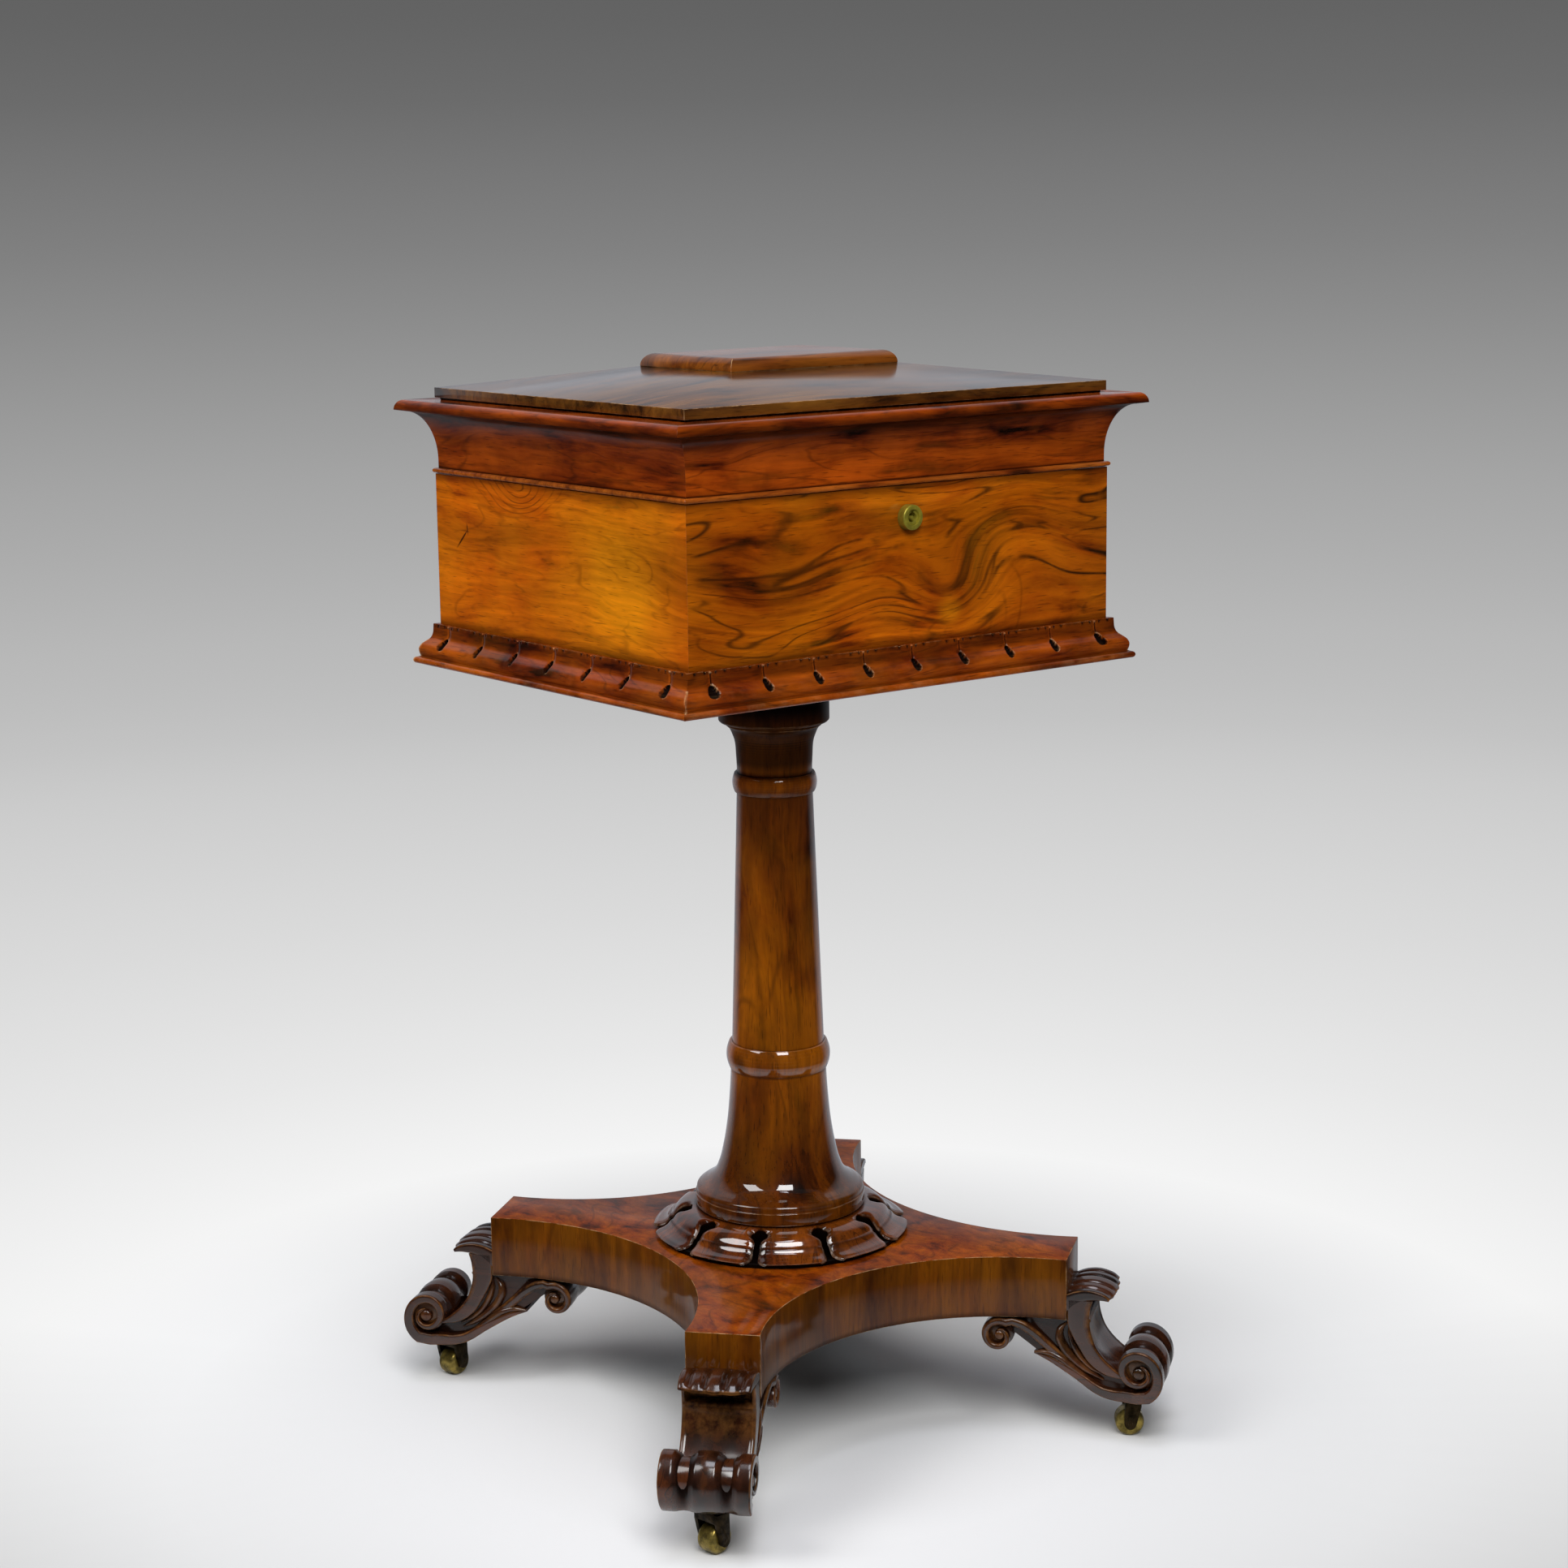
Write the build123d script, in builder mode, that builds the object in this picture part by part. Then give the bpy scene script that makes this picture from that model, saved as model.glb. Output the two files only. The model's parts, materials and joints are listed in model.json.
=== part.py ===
from build123d import *
import os
from math import cos, radians, sin

os.makedirs("parts", exist_ok=True)

# A rosewood teapoy: a tea chest with a stepped, hinged lid, on a turned column that stands on
# a concave-sided platform with four scroll feet and brass castors. Millimetres, +Z up.
# The origin is on the floor, on the axis of the column. The front of the chest faces -Y.

# ---- Driving dimensions: castors ----

castor_height = 32.0        # floor to the sole of the foot
castor_outset = 43.5        # end of the arm to the swivel axis
wheel_radius = 10.2
wheel_width = 14.6
wheel_edge = 3.4            # rounding of the tread
wheel_side_gap = 0.4
axle_radius = 1.5
axle_clearance = 0.05
castor_trail = 2.0          # wheel axle beside the swivel axis
castor_plate_radius = 9.5
castor_plate = 2.0
castor_stem_radius = 3.0
castor_stem = 16.0
pintle_radius = 2.3
pintle_end_gap = 0.4        # pintle's end above the underside of the horn's crown
horn_crown = 6.4
horn_depth = 11.5           # along the rolling direction
horn_cheek = 2.8
horn_eye_radius = 4.2
swivel_gap = 0.3
axle_directions = {"front_left": -80.0, "front_right": 52.0, "back_right": 20.0, "back_left": -75.0}

# ---- Platform and feet ----

foot_height = 58.0          # sole of the foot to the underside of the platform
platform_thickness = 44.5
arm_reach = 213.5           # column axis to the end of an arm
arm_half_width = 25.5
arm_angle = 47.0            # from the X axis of the platform
waist_side = 101.0          # column axis to the middle of a left or right side
waist_front = 112.0         # column axis to the middle of the front or back side
base_twist = -5.2           # the base stands turned by this much under the chest
foot_half_width = 25.0
# The foot's outline, as (out from the end of the arm, up from the underside of the platform).
foot_crest = ((0.0, 21.5), (6.5, 24.2), (14.5, 25.4), (23.0, 24.7), (32.5, 20.0))
foot_breast = ((31.0, 17.8), (22.5, 16.0), (17.0, 7.0), (16.0, -4.0), (20.0, -19.0), (36.0, -33.5))
foot_heel = ((-39.0, -16.0), (-50.0, 0.0))
foot_underside = ((24.0, 3.0), (4.5, 15.0), (-16.0, 26.0), (-25.0, 28.2))  # up from the sole
volute_outset = 9.0         # swivel axis to the middle of the outer volute
volute_height = 25.0        # sole to the middle of the outer volute
volute_radius = 16.0
volute_half_width = 31.0
inner_volute_inset = 48.0   # end of the arm back to the middle of the inner volute
inner_volute_drop = 14.5
inner_volute_radius = 10.5
inner_volute_half_width = 27.5

# ---- Column, from the platform up ----

lotus_plinth_radius = 88.5
lotus_plinth = 3.0
lotus_radius = 92.0
lotus_edge = 1.5            # upright edge of the petals above the plinth
lotus_height = 17.0
lotus_top_radius = 57.0
lotus_petals = 10
lotus_phase = 3.9           # direction of one of the slots between the petals
lotus_slot = 4.4
lotus_slot_depth = 13.0
lotus_bulb_radius = 5.8
lotus_bulb_reach = 70.0
lotus_ends = ((-0.3, 1.0), (-1.0, 0.12))     # directions of the petals' outline at the rim and the top
disc_radius = 61.0
disc_edge = 3.0             # slope under the disc's upright edge
disc_height = 10.5
flare = 91.5                # disc to the lower collar
# The flare's outline, as (radius, above the disc), and its directions at the ends of the three lines.
flare_rim = ((59.9, 3.4), (57.0, 5.8), (52.0, 8.9))
flare_hollow = ((47.0, 13.6), (43.6, 21.0), (40.4, 33.5))
flare_rise = ((37.4, 51.0), (35.4, 71.0))
flare_ends = ((-0.1, 1.0), (-1.0, 0.7), (-0.22, 1.0), (-0.05, 1.0))
flare_top_radius = 34.1
lower_collar_radius = 37.2
lower_collar_edge = 2.4     # how far the collar's edges stand inside its middle
lower_collar = 19.5
shaft = 181.5
shaft_bottom_radius = 32.9
shaft_top_radius = 26.9
upper_collar_radius = 30.0
upper_collar_edge = 1.8
upper_collar = 14.0
neck = 36.0
neck_radius = 26.6
neck_curve = ((26.9, 10.9), (28.9, 25.9), (33.8, 33.7))  # (radius, above the upper collar)
neck_ends = ((0.0, 1.0), (1.0, 0.5))
cap = 29.0
cap_radius = 39.1
cap_edge = 1.5
column_tenon_radius = 18.0
column_tenon = 30.0
column_plate_radius = 68.0
column_plate = 14.0
tenon_clearance = 0.1

# ---- Chest ----

chest_half_width = 180.0
chest_half_depth = 147.0
wall = 12.0
rim_height = 133.1          # underside of the chest to its rim
floor_board = 10.0
base_moulding_height = 28.1
base_moulding_reach = 14.6
base_moulding_nose = 2.3    # radius of the nosing along the bottom edge
base_moulding_curve = ((10.6, 5.4), (11.6, 10.0), (8.0, 18.2), (3.9, 26.5))  # (out, up) of its cyma
base_moulding_fillet = 3.6  # how far out its top edge stands

# ---- Lid ----

lid_gap = 0.4
frieze_recess = 1.6         # the frieze of the lid stands back from the chest's faces
frieze_height = 9.0
cavetto_rise = 33.6
cavetto_reach = 14.0
lip_reach = 20.0
lip_drop = 1.0              # the soffit falls this much towards the cavetto
lip_height = 7.0
lip_roll = 5.4
slab_recess = 3.5           # dark step under the slab
slab_step = 1.4
slab_inset = 0.7
slab_thickness = 6.8
hip_rise = 13.4
plateau_half_width = 71.8
plateau_half_depth = 52.0
plateau_thickness = 8.8
plateau_land = 0.6          # upright edge under the plateau's rounding
bead_height = 3.4
lining = 2.0
lining_clearance = 0.5

# ---- Hinges ----

hinge_spread = 110.0        # middle of the chest to the middle of a hinge
hinge_length = 40.0
hinge_leaf = 1.5
hinge_leaf_width = 9.0      # how far a leaf reaches in over the board
knuckle_radius = 3.0
knuckle_outset = 3.4        # pin axis behind the chest's back
knuckle_gap = 0.3
hinge_pin_radius = 1.2
pin_clearance = 0.05
leaf_clearance = 0.1

# ---- Lock ----

lock_below_rim = 21.1
boss_radius = 8.4
boss_reach = 6.0
boss_edge = 1.0
boss_clearance = 0.05
barrel_radius = 5.2
barrel_recess = 1.2         # the barrel's face behind the boss's face
barrel_clearance = 0.06
keyhole_radius = 3.4
keyhole_depth = 8.0
key_pin_radius = 1.2
key_notch_width = 1.6
key_notch_depth = 1.2
lock_case_half_width = 27.0
lock_case_depth = 8.0
lock_case_wall = 1.2
lock_case_below = 9.0       # key axis to the bottom of the case
bolt_clearance = 0.3
bolt_finger = 2.4           # thickness and height of the bolt's two fingers
bolt_post = 3.0
bolt_below = 1.0            # lower edge of the bolt above the key axis
cam_reach = 4.0
cam_radius = 1.0
staple_spread = 14.0
staple_width = 3.0
staple_depth = 3.8
staple_drop = 10.0
staple_slot_clearance = 0.9
link_plate_half_width = 24.0
link_plate_half_depth = 4.7
link_plate = 1.5
link_screw_spread = 20.0

# ---- Screws ----

screw_radius = 1.3
screw_head_radius = 2.6
screw_length = 9.0
screw_clearance = 0.05
hinge_screw_step = 13.3
plate_screw_radius = 2.2
plate_screw_head_radius = 4.2
plate_screw_length = 22.0
plate_screw_circle = 54.0

# ---- Fitted interior ----

partition = 6.0
bay_half_width = 57.0       # half the clear width of the bowl bay
tray_below_rim = 9.6
tray_thickness = 10.0
bowl_spread = 66.0          # middle of the chest to the middle of a bowl
bowl_radius = 43.4
bowl_clearance = 0.8
bowl_flange_reach = 5.6
bowl_flange = 3.0
bowl_rim = 8.0              # tray top to the bowl's rim
bowl_depth = 74.0           # tray top down to the bowl's foot
bowl_foot_radius = 22.0
bowl_foot_slope = 0.35
bowl_wall = 3.0
bowl_floor = 6.0
canister_clearance = 1.0
canister_wall = 5.0
canister_lid = 6.0
canister_plug = 4.0
canister_plug_clearance = 0.3
knob_radius = 8.0
knob_height = 13.0
knob_roll = 4.0
knob_spigot_radius = 3.0

# ---- Heights and places that follow ----

platform_bottom = castor_height + foot_height
platform_top = platform_bottom + platform_thickness
plinth_top = platform_top + lotus_plinth
lotus_top = plinth_top + lotus_height
disc_top = lotus_top + disc_height
flare_top = disc_top + flare
shaft_bottom = flare_top + lower_collar
shaft_top = shaft_bottom + shaft
neck_bottom = shaft_top + upper_collar
cap_bottom = neck_bottom + neck
column_plate_bottom = cap_bottom + cap
chest_bottom = column_plate_bottom + column_plate
chest_floor = chest_bottom + floor_board
rim = chest_bottom + rim_height
lid_bottom = rim + lid_gap
cavetto_bottom = lid_bottom + frieze_height
cavetto_top = cavetto_bottom + cavetto_rise
lip_top = cavetto_top + lip_drop + lip_height
slab_bottom = lip_top + slab_step
slab_top = slab_bottom + slab_thickness
plateau_bottom = slab_top + hip_rise
inner_half_width = chest_half_width - wall
inner_half_depth = chest_half_depth - wall
hinge_axis_y = chest_half_depth + knuckle_outset
hinge_axis_z = rim + lid_gap / 2

# Each side of the chest: the way it faces, half its length, and its distance from the middle.
sides = {
    "front": (Vector(0, -1, 0), chest_half_width, chest_half_depth),
    "back": (Vector(0, 1, 0), chest_half_width, chest_half_depth),
    "left": (Vector(-1, 0, 0), chest_half_depth, chest_half_width),
    "right": (Vector(1, 0, 0), chest_half_depth, chest_half_width),
}
corners = {"front_left": (-1, -1), "front_right": (1, -1), "back_right": (1, 1), "back_left": (-1, 1)}


def save(part, name):
    part.label = name
    export_step(part, "parts/" + name + ".step")


# ---- Mitred pieces that run round the chest and the lid ----
# A section is drawn as (distance from the middle of the chest, height), and runs along one side.
# The mitre planes pass through the upright corners of the chest at 45 degrees.

def mitred(side, section):
    outward, run, depth = sides[side]
    along = Vector(0, 0, 1).cross(outward)
    with BuildPart() as strip:
        with BuildSketch(Plane(origin=(0, 0, 0), x_dir=outward, z_dir=-along)):
            add(section(depth))
        extrude(amount=run + lip_reach + base_moulding_reach, both=True)
        for end in (-1, 1):
            corner = outward * depth + along * (end * run)
            split(bisect_by=Plane(origin=corner, z_dir=along * end - outward), keep=Keep.BOTTOM)
    return strip.part


def board_section(depth):
    with BuildSketch() as section:
        with Locations((depth - wall / 2, chest_bottom + rim_height / 2)):
            Rectangle(wall, rim_height)
    return section.sketch


def base_moulding_section(depth):
    nose = base_moulding_nose
    nose_x = depth + base_moulding_reach - nose
    top = chest_bottom + base_moulding_height
    curve = [(depth + out, chest_bottom + height) for out, height in base_moulding_curve]
    with BuildSketch() as section:
        with BuildLine():
            Line((depth, chest_bottom), (nose_x, chest_bottom))
            CenterArc((nose_x, chest_bottom + nose), nose, -90, 180)
            Line((nose_x, chest_bottom + 2 * nose), curve[0])
            Spline(*curve)
            Line(curve[-1], (depth + base_moulding_fillet, top))
            Line((depth + base_moulding_fillet, top), (depth, top))
            Line((depth, top), (depth, chest_bottom))
        make_face()
    return section.sketch


def cornice_section(depth):
    frieze = depth - frieze_recess
    soffit = depth + cavetto_reach
    lip = depth + lip_reach
    with BuildSketch() as section:
        with BuildLine():
            Line((depth - wall, lid_bottom), (frieze, lid_bottom))
            Line((frieze, lid_bottom), (frieze, cavetto_bottom))
            EllipticalCenterArc((soffit, cavetto_bottom), soffit - frieze, cavetto_rise,
                                start_angle=90, arc_size=90)
            Line((soffit, cavetto_top), (lip, cavetto_top + lip_drop))
            EllipticalCenterArc((lip - lip_roll, cavetto_top + lip_drop), lip_roll, lip_height,
                                start_angle=0, arc_size=90)
            Line((lip - lip_roll, lip_top), (depth - wall, lip_top))
            Line((depth - wall, lip_top), (depth - wall, lid_bottom))
        make_face()
    return section.sketch


def bead_section(depth):
    middle = lid_bottom + bead_height / 2
    with BuildSketch() as section:
        with BuildLine():
            Line((depth - frieze_recess, lid_bottom), (depth, lid_bottom))
            CenterArc((depth, middle), bead_height / 2, -90, 180)
            Line((depth, lid_bottom + bead_height), (depth - frieze_recess, lid_bottom + bead_height))
            Line((depth - frieze_recess, lid_bottom + bead_height), (depth - frieze_recess, lid_bottom))
        make_face()
    return section.sketch


# ---- Screws ----
# Each place is the centre of the head's flat face and the direction in which the screw goes.

def screws(places, radius, head_radius, length):
    with BuildPart() as group:
        for x, y, z, direction in places:
            with BuildSketch(Plane(origin=(x, y, z), z_dir=direction)):
                Circle(head_radius)
            extrude(amount=head_radius - radius, taper=45)
            with BuildSketch(Plane(origin=(x, y, z), z_dir=direction)):
                Circle(radius)
            extrude(amount=length)
    return group.part


def screw_bores(places, radius, head_radius, length):
    return screws(places, radius + screw_clearance, head_radius + screw_clearance, length)


small_screw = (screw_radius, screw_head_radius, screw_length)
plate_screw = (plate_screw_radius, plate_screw_head_radius, plate_screw_length)
hinge_places = (-hinge_spread, hinge_spread)
leaf_screw_y = chest_half_depth - hinge_leaf_width / 2
leaf_screw_x = [place + n * hinge_screw_step for place in hinge_places for n in (-1, 0, 1)]
chest_leaf_screws = [(x, leaf_screw_y, rim, (0, 0, -1)) for x in leaf_screw_x]
lid_leaf_screws = [(x, leaf_screw_y, lid_bottom, (0, 0, 1)) for x in leaf_screw_x]
link_y = -chest_half_depth + wall - lock_case_depth / 2
link_plate_screws = [(x, link_y, lid_bottom, (0, 0, 1)) for x in (-link_screw_spread, link_screw_spread)]
column_plate_screws = [(plate_screw_circle * cos(radians(angle)), plate_screw_circle * sin(radians(angle)),
                        column_plate_bottom, (0, 0, 1)) for angle in (45, 135, 225, 315)]

save(screws(chest_leaf_screws, *small_screw), "hinge_screws_chest")
save(screws(lid_leaf_screws + link_plate_screws, *small_screw), "hinge_screws_lid")
save(screws(column_plate_screws, *plate_screw), "column_plate_screws")

# ---- Chest boards ----

lock_height = rim - lock_below_rim
case_back = -inner_half_depth
case_front = case_back - lock_case_depth
case_bottom = lock_height - lock_case_below
case_height = rim - case_bottom

with BuildPart() as chest_front:
    add(mitred("front", board_section))
    with BuildSketch(Plane.XZ.offset(-case_back)):
        with Locations((0, (case_bottom + rim) / 2)):
            Rectangle(2 * (lock_case_half_width + leaf_clearance), case_height + 2 * leaf_clearance)
    extrude(amount=lock_case_depth, mode=Mode.SUBTRACT)
    with BuildSketch(Plane.XZ.offset(chest_half_depth)):
        with Locations((0, lock_height)):
            Circle(boss_radius + boss_clearance)
    extrude(amount=-wall, mode=Mode.SUBTRACT)
save(chest_front.part, "chest_front_board")

with BuildPart() as chest_back:
    add(mitred("back", board_section))
    with BuildSketch(Plane.XY.offset(rim)):
        with Locations(*[(place, chest_half_depth) for place in hinge_places]):
            Rectangle(hinge_length + 2 * leaf_clearance, 2 * (hinge_leaf_width + leaf_clearance))
    extrude(amount=-hinge_leaf, mode=Mode.SUBTRACT)
    add(screw_bores(chest_leaf_screws, *small_screw), mode=Mode.SUBTRACT)
save(chest_back.part, "chest_back_board")

save(mitred("left", board_section), "chest_left_board")
save(mitred("right", board_section), "chest_right_board")

with BuildPart() as chest_bottom_board:
    with BuildSketch(Plane.XY.offset(chest_bottom)):
        Rectangle(2 * inner_half_width, 2 * inner_half_depth)
    extrude(amount=floor_board)
    add(screw_bores(column_plate_screws, *plate_screw), mode=Mode.SUBTRACT)
save(chest_bottom_board.part, "chest_bottom_board")

for side in sides:
    save(mitred(side, base_moulding_section), "base_moulding_" + side)

# ---- Lid ----

with BuildPart() as cornice_front:
    add(mitred("front", cornice_section))
    with BuildSketch(Plane.XY.offset(lid_bottom)):
        with Locations((0, link_y)):
            Rectangle(2 * (link_plate_half_width + leaf_clearance),
                      2 * (link_plate_half_depth + leaf_clearance))
    extrude(amount=link_plate, mode=Mode.SUBTRACT)
    add(screw_bores(link_plate_screws, *small_screw), mode=Mode.SUBTRACT)
save(cornice_front.part, "lid_cornice_front")

with BuildPart() as cornice_back:
    add(mitred("back", cornice_section))
    with BuildSketch(Plane.XY.offset(lid_bottom)):
        with Locations(*[(place, chest_half_depth) for place in hinge_places]):
            Rectangle(hinge_length + 2 * leaf_clearance, 2 * (hinge_leaf_width + leaf_clearance))
    extrude(amount=hinge_leaf, mode=Mode.SUBTRACT)
    add(screw_bores(lid_leaf_screws, *small_screw), mode=Mode.SUBTRACT)
save(cornice_back.part, "lid_cornice_back")

save(mitred("left", cornice_section), "lid_cornice_left")
save(mitred("right", cornice_section), "lid_cornice_right")

# The bead along the back is cut away for the hinges.
with BuildPart() as back_bead:
    add(mitred("back", bead_section))
    with BuildSketch(Plane.XY.offset(lid_bottom)):
        with Locations(*[(place, chest_half_depth) for place in hinge_places]):
            Rectangle(hinge_length + 2 * knuckle_gap, 2 * knuckle_radius)
    extrude(amount=bead_height, mode=Mode.SUBTRACT)
beads = [mitred(side, bead_section) for side in ("front", "left", "right")]
save(Compound(children=beads + list(back_bead.part.solids())), "lid_beads")

with BuildPart() as lid_top:
    with BuildSketch(Plane.XY.offset(lip_top)):
        Rectangle(2 * (chest_half_width - slab_recess), 2 * (chest_half_depth - slab_recess))
    extrude(amount=slab_step)
    with BuildSketch(Plane.XY.offset(slab_bottom)):
        Rectangle(2 * (chest_half_width - slab_inset), 2 * (chest_half_depth - slab_inset))
    extrude(amount=slab_thickness)
    with BuildSketch(Plane.XY.offset(slab_top)):
        Rectangle(2 * (chest_half_width - slab_inset), 2 * (chest_half_depth - slab_inset))
    with BuildSketch(Plane.XY.offset(plateau_bottom)):
        Rectangle(2 * plateau_half_width, 2 * plateau_half_depth)
    loft()
save(lid_top.part, "lid_top")

with BuildPart() as lid_plateau:
    with BuildSketch(Plane.XY.offset(plateau_bottom)):
        Rectangle(2 * plateau_half_width, 2 * plateau_half_depth)
    extrude(amount=plateau_thickness)
    fillet(lid_plateau.faces().sort_by(Axis.Z)[-1].edges(), plateau_thickness - plateau_land)
save(lid_plateau.part, "lid_plateau")

with BuildPart() as lid_lining:
    with BuildSketch(Plane.XY.offset(lip_top - lining)):
        Rectangle(2 * (inner_half_width - lining_clearance), 2 * (inner_half_depth - lining_clearance))
    extrude(amount=lining)
save(lid_lining.part, "lid_lining")

# ---- Hinges ----
# The lid leaf has the middle knuckle, the chest leaf the two outer ones.

def hinge_leaf_pair(leaf_bottom, knuckle_spans, screw_places):
    with BuildPart() as leaves:
        with BuildSketch(Plane.XY.offset(leaf_bottom)):
            for place in hinge_places:
                with Locations((place, leaf_screw_y)):
                    Rectangle(hinge_length, hinge_leaf_width)
                for start, end in knuckle_spans:
                    with Locations((place + (start + end) / 2, chest_half_depth + knuckle_outset / 2)):
                        Rectangle(end - start, knuckle_outset)
        extrude(amount=hinge_leaf)
        for start, end in knuckle_spans:
            for place in hinge_places:
                with BuildSketch(Plane.YZ.offset(place + start)):
                    with Locations((hinge_axis_y, hinge_axis_z)):
                        Circle(knuckle_radius)
                extrude(amount=end - start)
        with BuildSketch(Plane.YZ):
            with Locations((hinge_axis_y, hinge_axis_z)):
                Circle(hinge_pin_radius + pin_clearance)
        extrude(amount=hinge_spread + hinge_length, both=True, mode=Mode.SUBTRACT)
        add(screw_bores(screw_places, *small_screw), mode=Mode.SUBTRACT)
    return leaves.part


middle_end = hinge_length / 6
outer_start = middle_end + knuckle_gap
outer_spans = ((-hinge_length / 2, -outer_start), (outer_start, hinge_length / 2))
save(hinge_leaf_pair(rim - hinge_leaf, outer_spans, chest_leaf_screws), "hinge_leaves_chest")
save(hinge_leaf_pair(lid_bottom, ((-middle_end, middle_end),), lid_leaf_screws), "hinge_leaves_lid")

with BuildPart() as hinge_pins:
    for place in hinge_places:
        with BuildSketch(Plane.YZ.offset(place)):
            with Locations((hinge_axis_y, hinge_axis_z)):
                Circle(hinge_pin_radius)
        extrude(amount=hinge_length / 2, both=True)
save(hinge_pins.part, "hinge_pins")

# ---- Lock ----
# A flat case let into the front board. The key boss stands out of the board's face. The barrel
# turns in it, and its cam pin slides the bolt, whose two fingers pass through the lid's staples.
# The cam pin stands 45 degrees to the left at rest, and turns to 45 degrees to the right.

lock_y = (case_back + case_front) / 2
case_room = lock_case_depth - 2 * lock_case_wall
barrel_back = case_front + lock_case_wall
barrel_front = -chest_half_depth - boss_reach + barrel_recess
cam_offset = cam_reach * cos(radians(45))
bolt_travel = 2 * cam_offset
finger_z = rim - staple_drop / 2
bolt_bottom = lock_height + bolt_below
bolt_top = rim - staple_drop - bolt_clearance
staple_places = (-staple_spread, staple_spread)

with BuildPart() as lock_case:
    with BuildSketch(Plane.XZ.offset(-case_back)):
        with Locations((0, (case_bottom + rim) / 2)):
            Rectangle(2 * lock_case_half_width, case_height)
    extrude(amount=lock_case_depth)
    with BuildSketch(Plane.XZ.offset(-case_back + lock_case_wall)):
        with Locations((0, (case_bottom + rim) / 2)):
            Rectangle(2 * (lock_case_half_width - lock_case_wall), case_height - 2 * lock_case_wall)
    extrude(amount=case_room, mode=Mode.SUBTRACT)
    with BuildSketch(Plane.XY.offset(rim)):
        with Locations(*[(place, lock_y) for place in staple_places]):
            Rectangle(staple_width + 2 * staple_slot_clearance, staple_depth + 2 * staple_slot_clearance)
    extrude(amount=-lock_case_wall, mode=Mode.SUBTRACT)
    with BuildSketch(Plane.XZ.offset(-case_front)):
        with Locations((0, lock_height)):
            Circle(barrel_radius + barrel_clearance)
    extrude(amount=-lock_case_wall, mode=Mode.SUBTRACT)
save(lock_case.part, "lock_case")

with BuildPart() as lock_boss:
    with BuildSketch(Plane.XZ.offset(-case_front)):
        with Locations((0, lock_height)):
            Circle(boss_radius)
            Circle(barrel_radius + barrel_clearance, mode=Mode.SUBTRACT)
    extrude(amount=case_front + chest_half_depth + boss_reach)
    fillet(lock_boss.faces().sort_by(Axis.Y)[0].edges().sort_by(SortBy.RADIUS)[-1], boss_edge)
save(lock_boss.part, "lock_boss")

with BuildPart() as lock_barrel:
    with BuildSketch(Plane.XZ.offset(-barrel_front)):
        with Locations((0, lock_height)):
            Circle(barrel_radius)
    extrude(amount=barrel_front - barrel_back)
    with BuildSketch(Plane.XZ.offset(-barrel_front)):
        with Locations((0, lock_height)):
            Circle(keyhole_radius)
            Circle(key_pin_radius, mode=Mode.SUBTRACT)
        with Locations((0, lock_height + keyhole_radius)):
            Rectangle(key_notch_width, 2 * key_notch_depth)
    extrude(amount=-keyhole_depth, mode=Mode.SUBTRACT)
    with BuildSketch(Plane.XZ.offset(-barrel_back)):
        with Locations((-cam_offset, lock_height + cam_offset)):
            Circle(cam_radius)
    extrude(amount=-(case_room - bolt_clearance))
save(lock_barrel.part, "lock_barrel")

cam_slot_half = cam_radius + bolt_clearance
cam_slot_top = lock_height + cam_reach + cam_slot_half
post_end = -(staple_width / 2 + bolt_travel + bolt_clearance)
finger_end = -(staple_width / 2 + bolt_clearance)
bolt_left = -staple_spread + post_end - bolt_post
bolt_right = staple_spread + post_end
with BuildPart() as lock_bolt:
    with BuildSketch(Plane.XZ.offset(-barrel_back - bolt_clearance)):
        with Locations(((bolt_left + bolt_right) / 2, (bolt_bottom + bolt_top) / 2)):
            Rectangle(bolt_right - bolt_left, bolt_top - bolt_bottom)
        with Locations((-cam_offset, (bolt_bottom + cam_slot_top) / 2)):
            Rectangle(2 * cam_slot_half, cam_slot_top - bolt_bottom, mode=Mode.SUBTRACT)
    extrude(amount=-(case_room - 2 * bolt_clearance))
    with BuildSketch(Plane.XZ.offset(-lock_y)):
        for place in staple_places:
            with Locations((place + post_end - bolt_post / 2, (bolt_top + finger_z) / 2)):
                Rectangle(bolt_post, finger_z - bolt_top + bolt_finger)
            with Locations((place + (post_end - bolt_post + finger_end) / 2, finger_z)):
                Rectangle(finger_end - post_end + bolt_post, bolt_finger)
    extrude(amount=bolt_finger / 2, both=True)
save(lock_bolt.part, "lock_bolt")

with BuildPart() as link:
    with BuildSketch(Plane.XY.offset(lid_bottom)):
        with Locations((0, link_y)):
            Rectangle(2 * link_plate_half_width, 2 * link_plate_half_depth)
    extrude(amount=link_plate)
    with BuildSketch(Plane.XY.offset(lid_bottom)):
        with Locations(*[(place, lock_y) for place in staple_places]):
            Rectangle(staple_width, staple_depth)
    extrude(amount=-(lid_bottom - rim + staple_drop))
    with BuildSketch(Plane.YZ):
        with Locations((lock_y, finger_z)):
            Rectangle(bolt_finger + 2 * bolt_clearance, bolt_finger + 2 * bolt_clearance)
    extrude(amount=staple_spread + staple_width, both=True, mode=Mode.SUBTRACT)
    add(screw_bores(link_plate_screws, *small_screw), mode=Mode.SUBTRACT)
save(link.part, "lock_link_plate")

# ---- Fitted interior ----
# A bay for two bowls in the middle, and a row of two canisters on either side of it.

bay_side = bay_half_width + partition
cell_half_depth = (inner_half_depth - partition / 2) / 2
cell_y = partition / 2 + cell_half_depth
cell_half_width = (inner_half_width - bay_side) / 2
cell_x = bay_side + cell_half_width
tray_top = rim - tray_below_rim
partition_top = tray_top - tray_thickness
canister_top = tray_top - canister_lid


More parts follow.
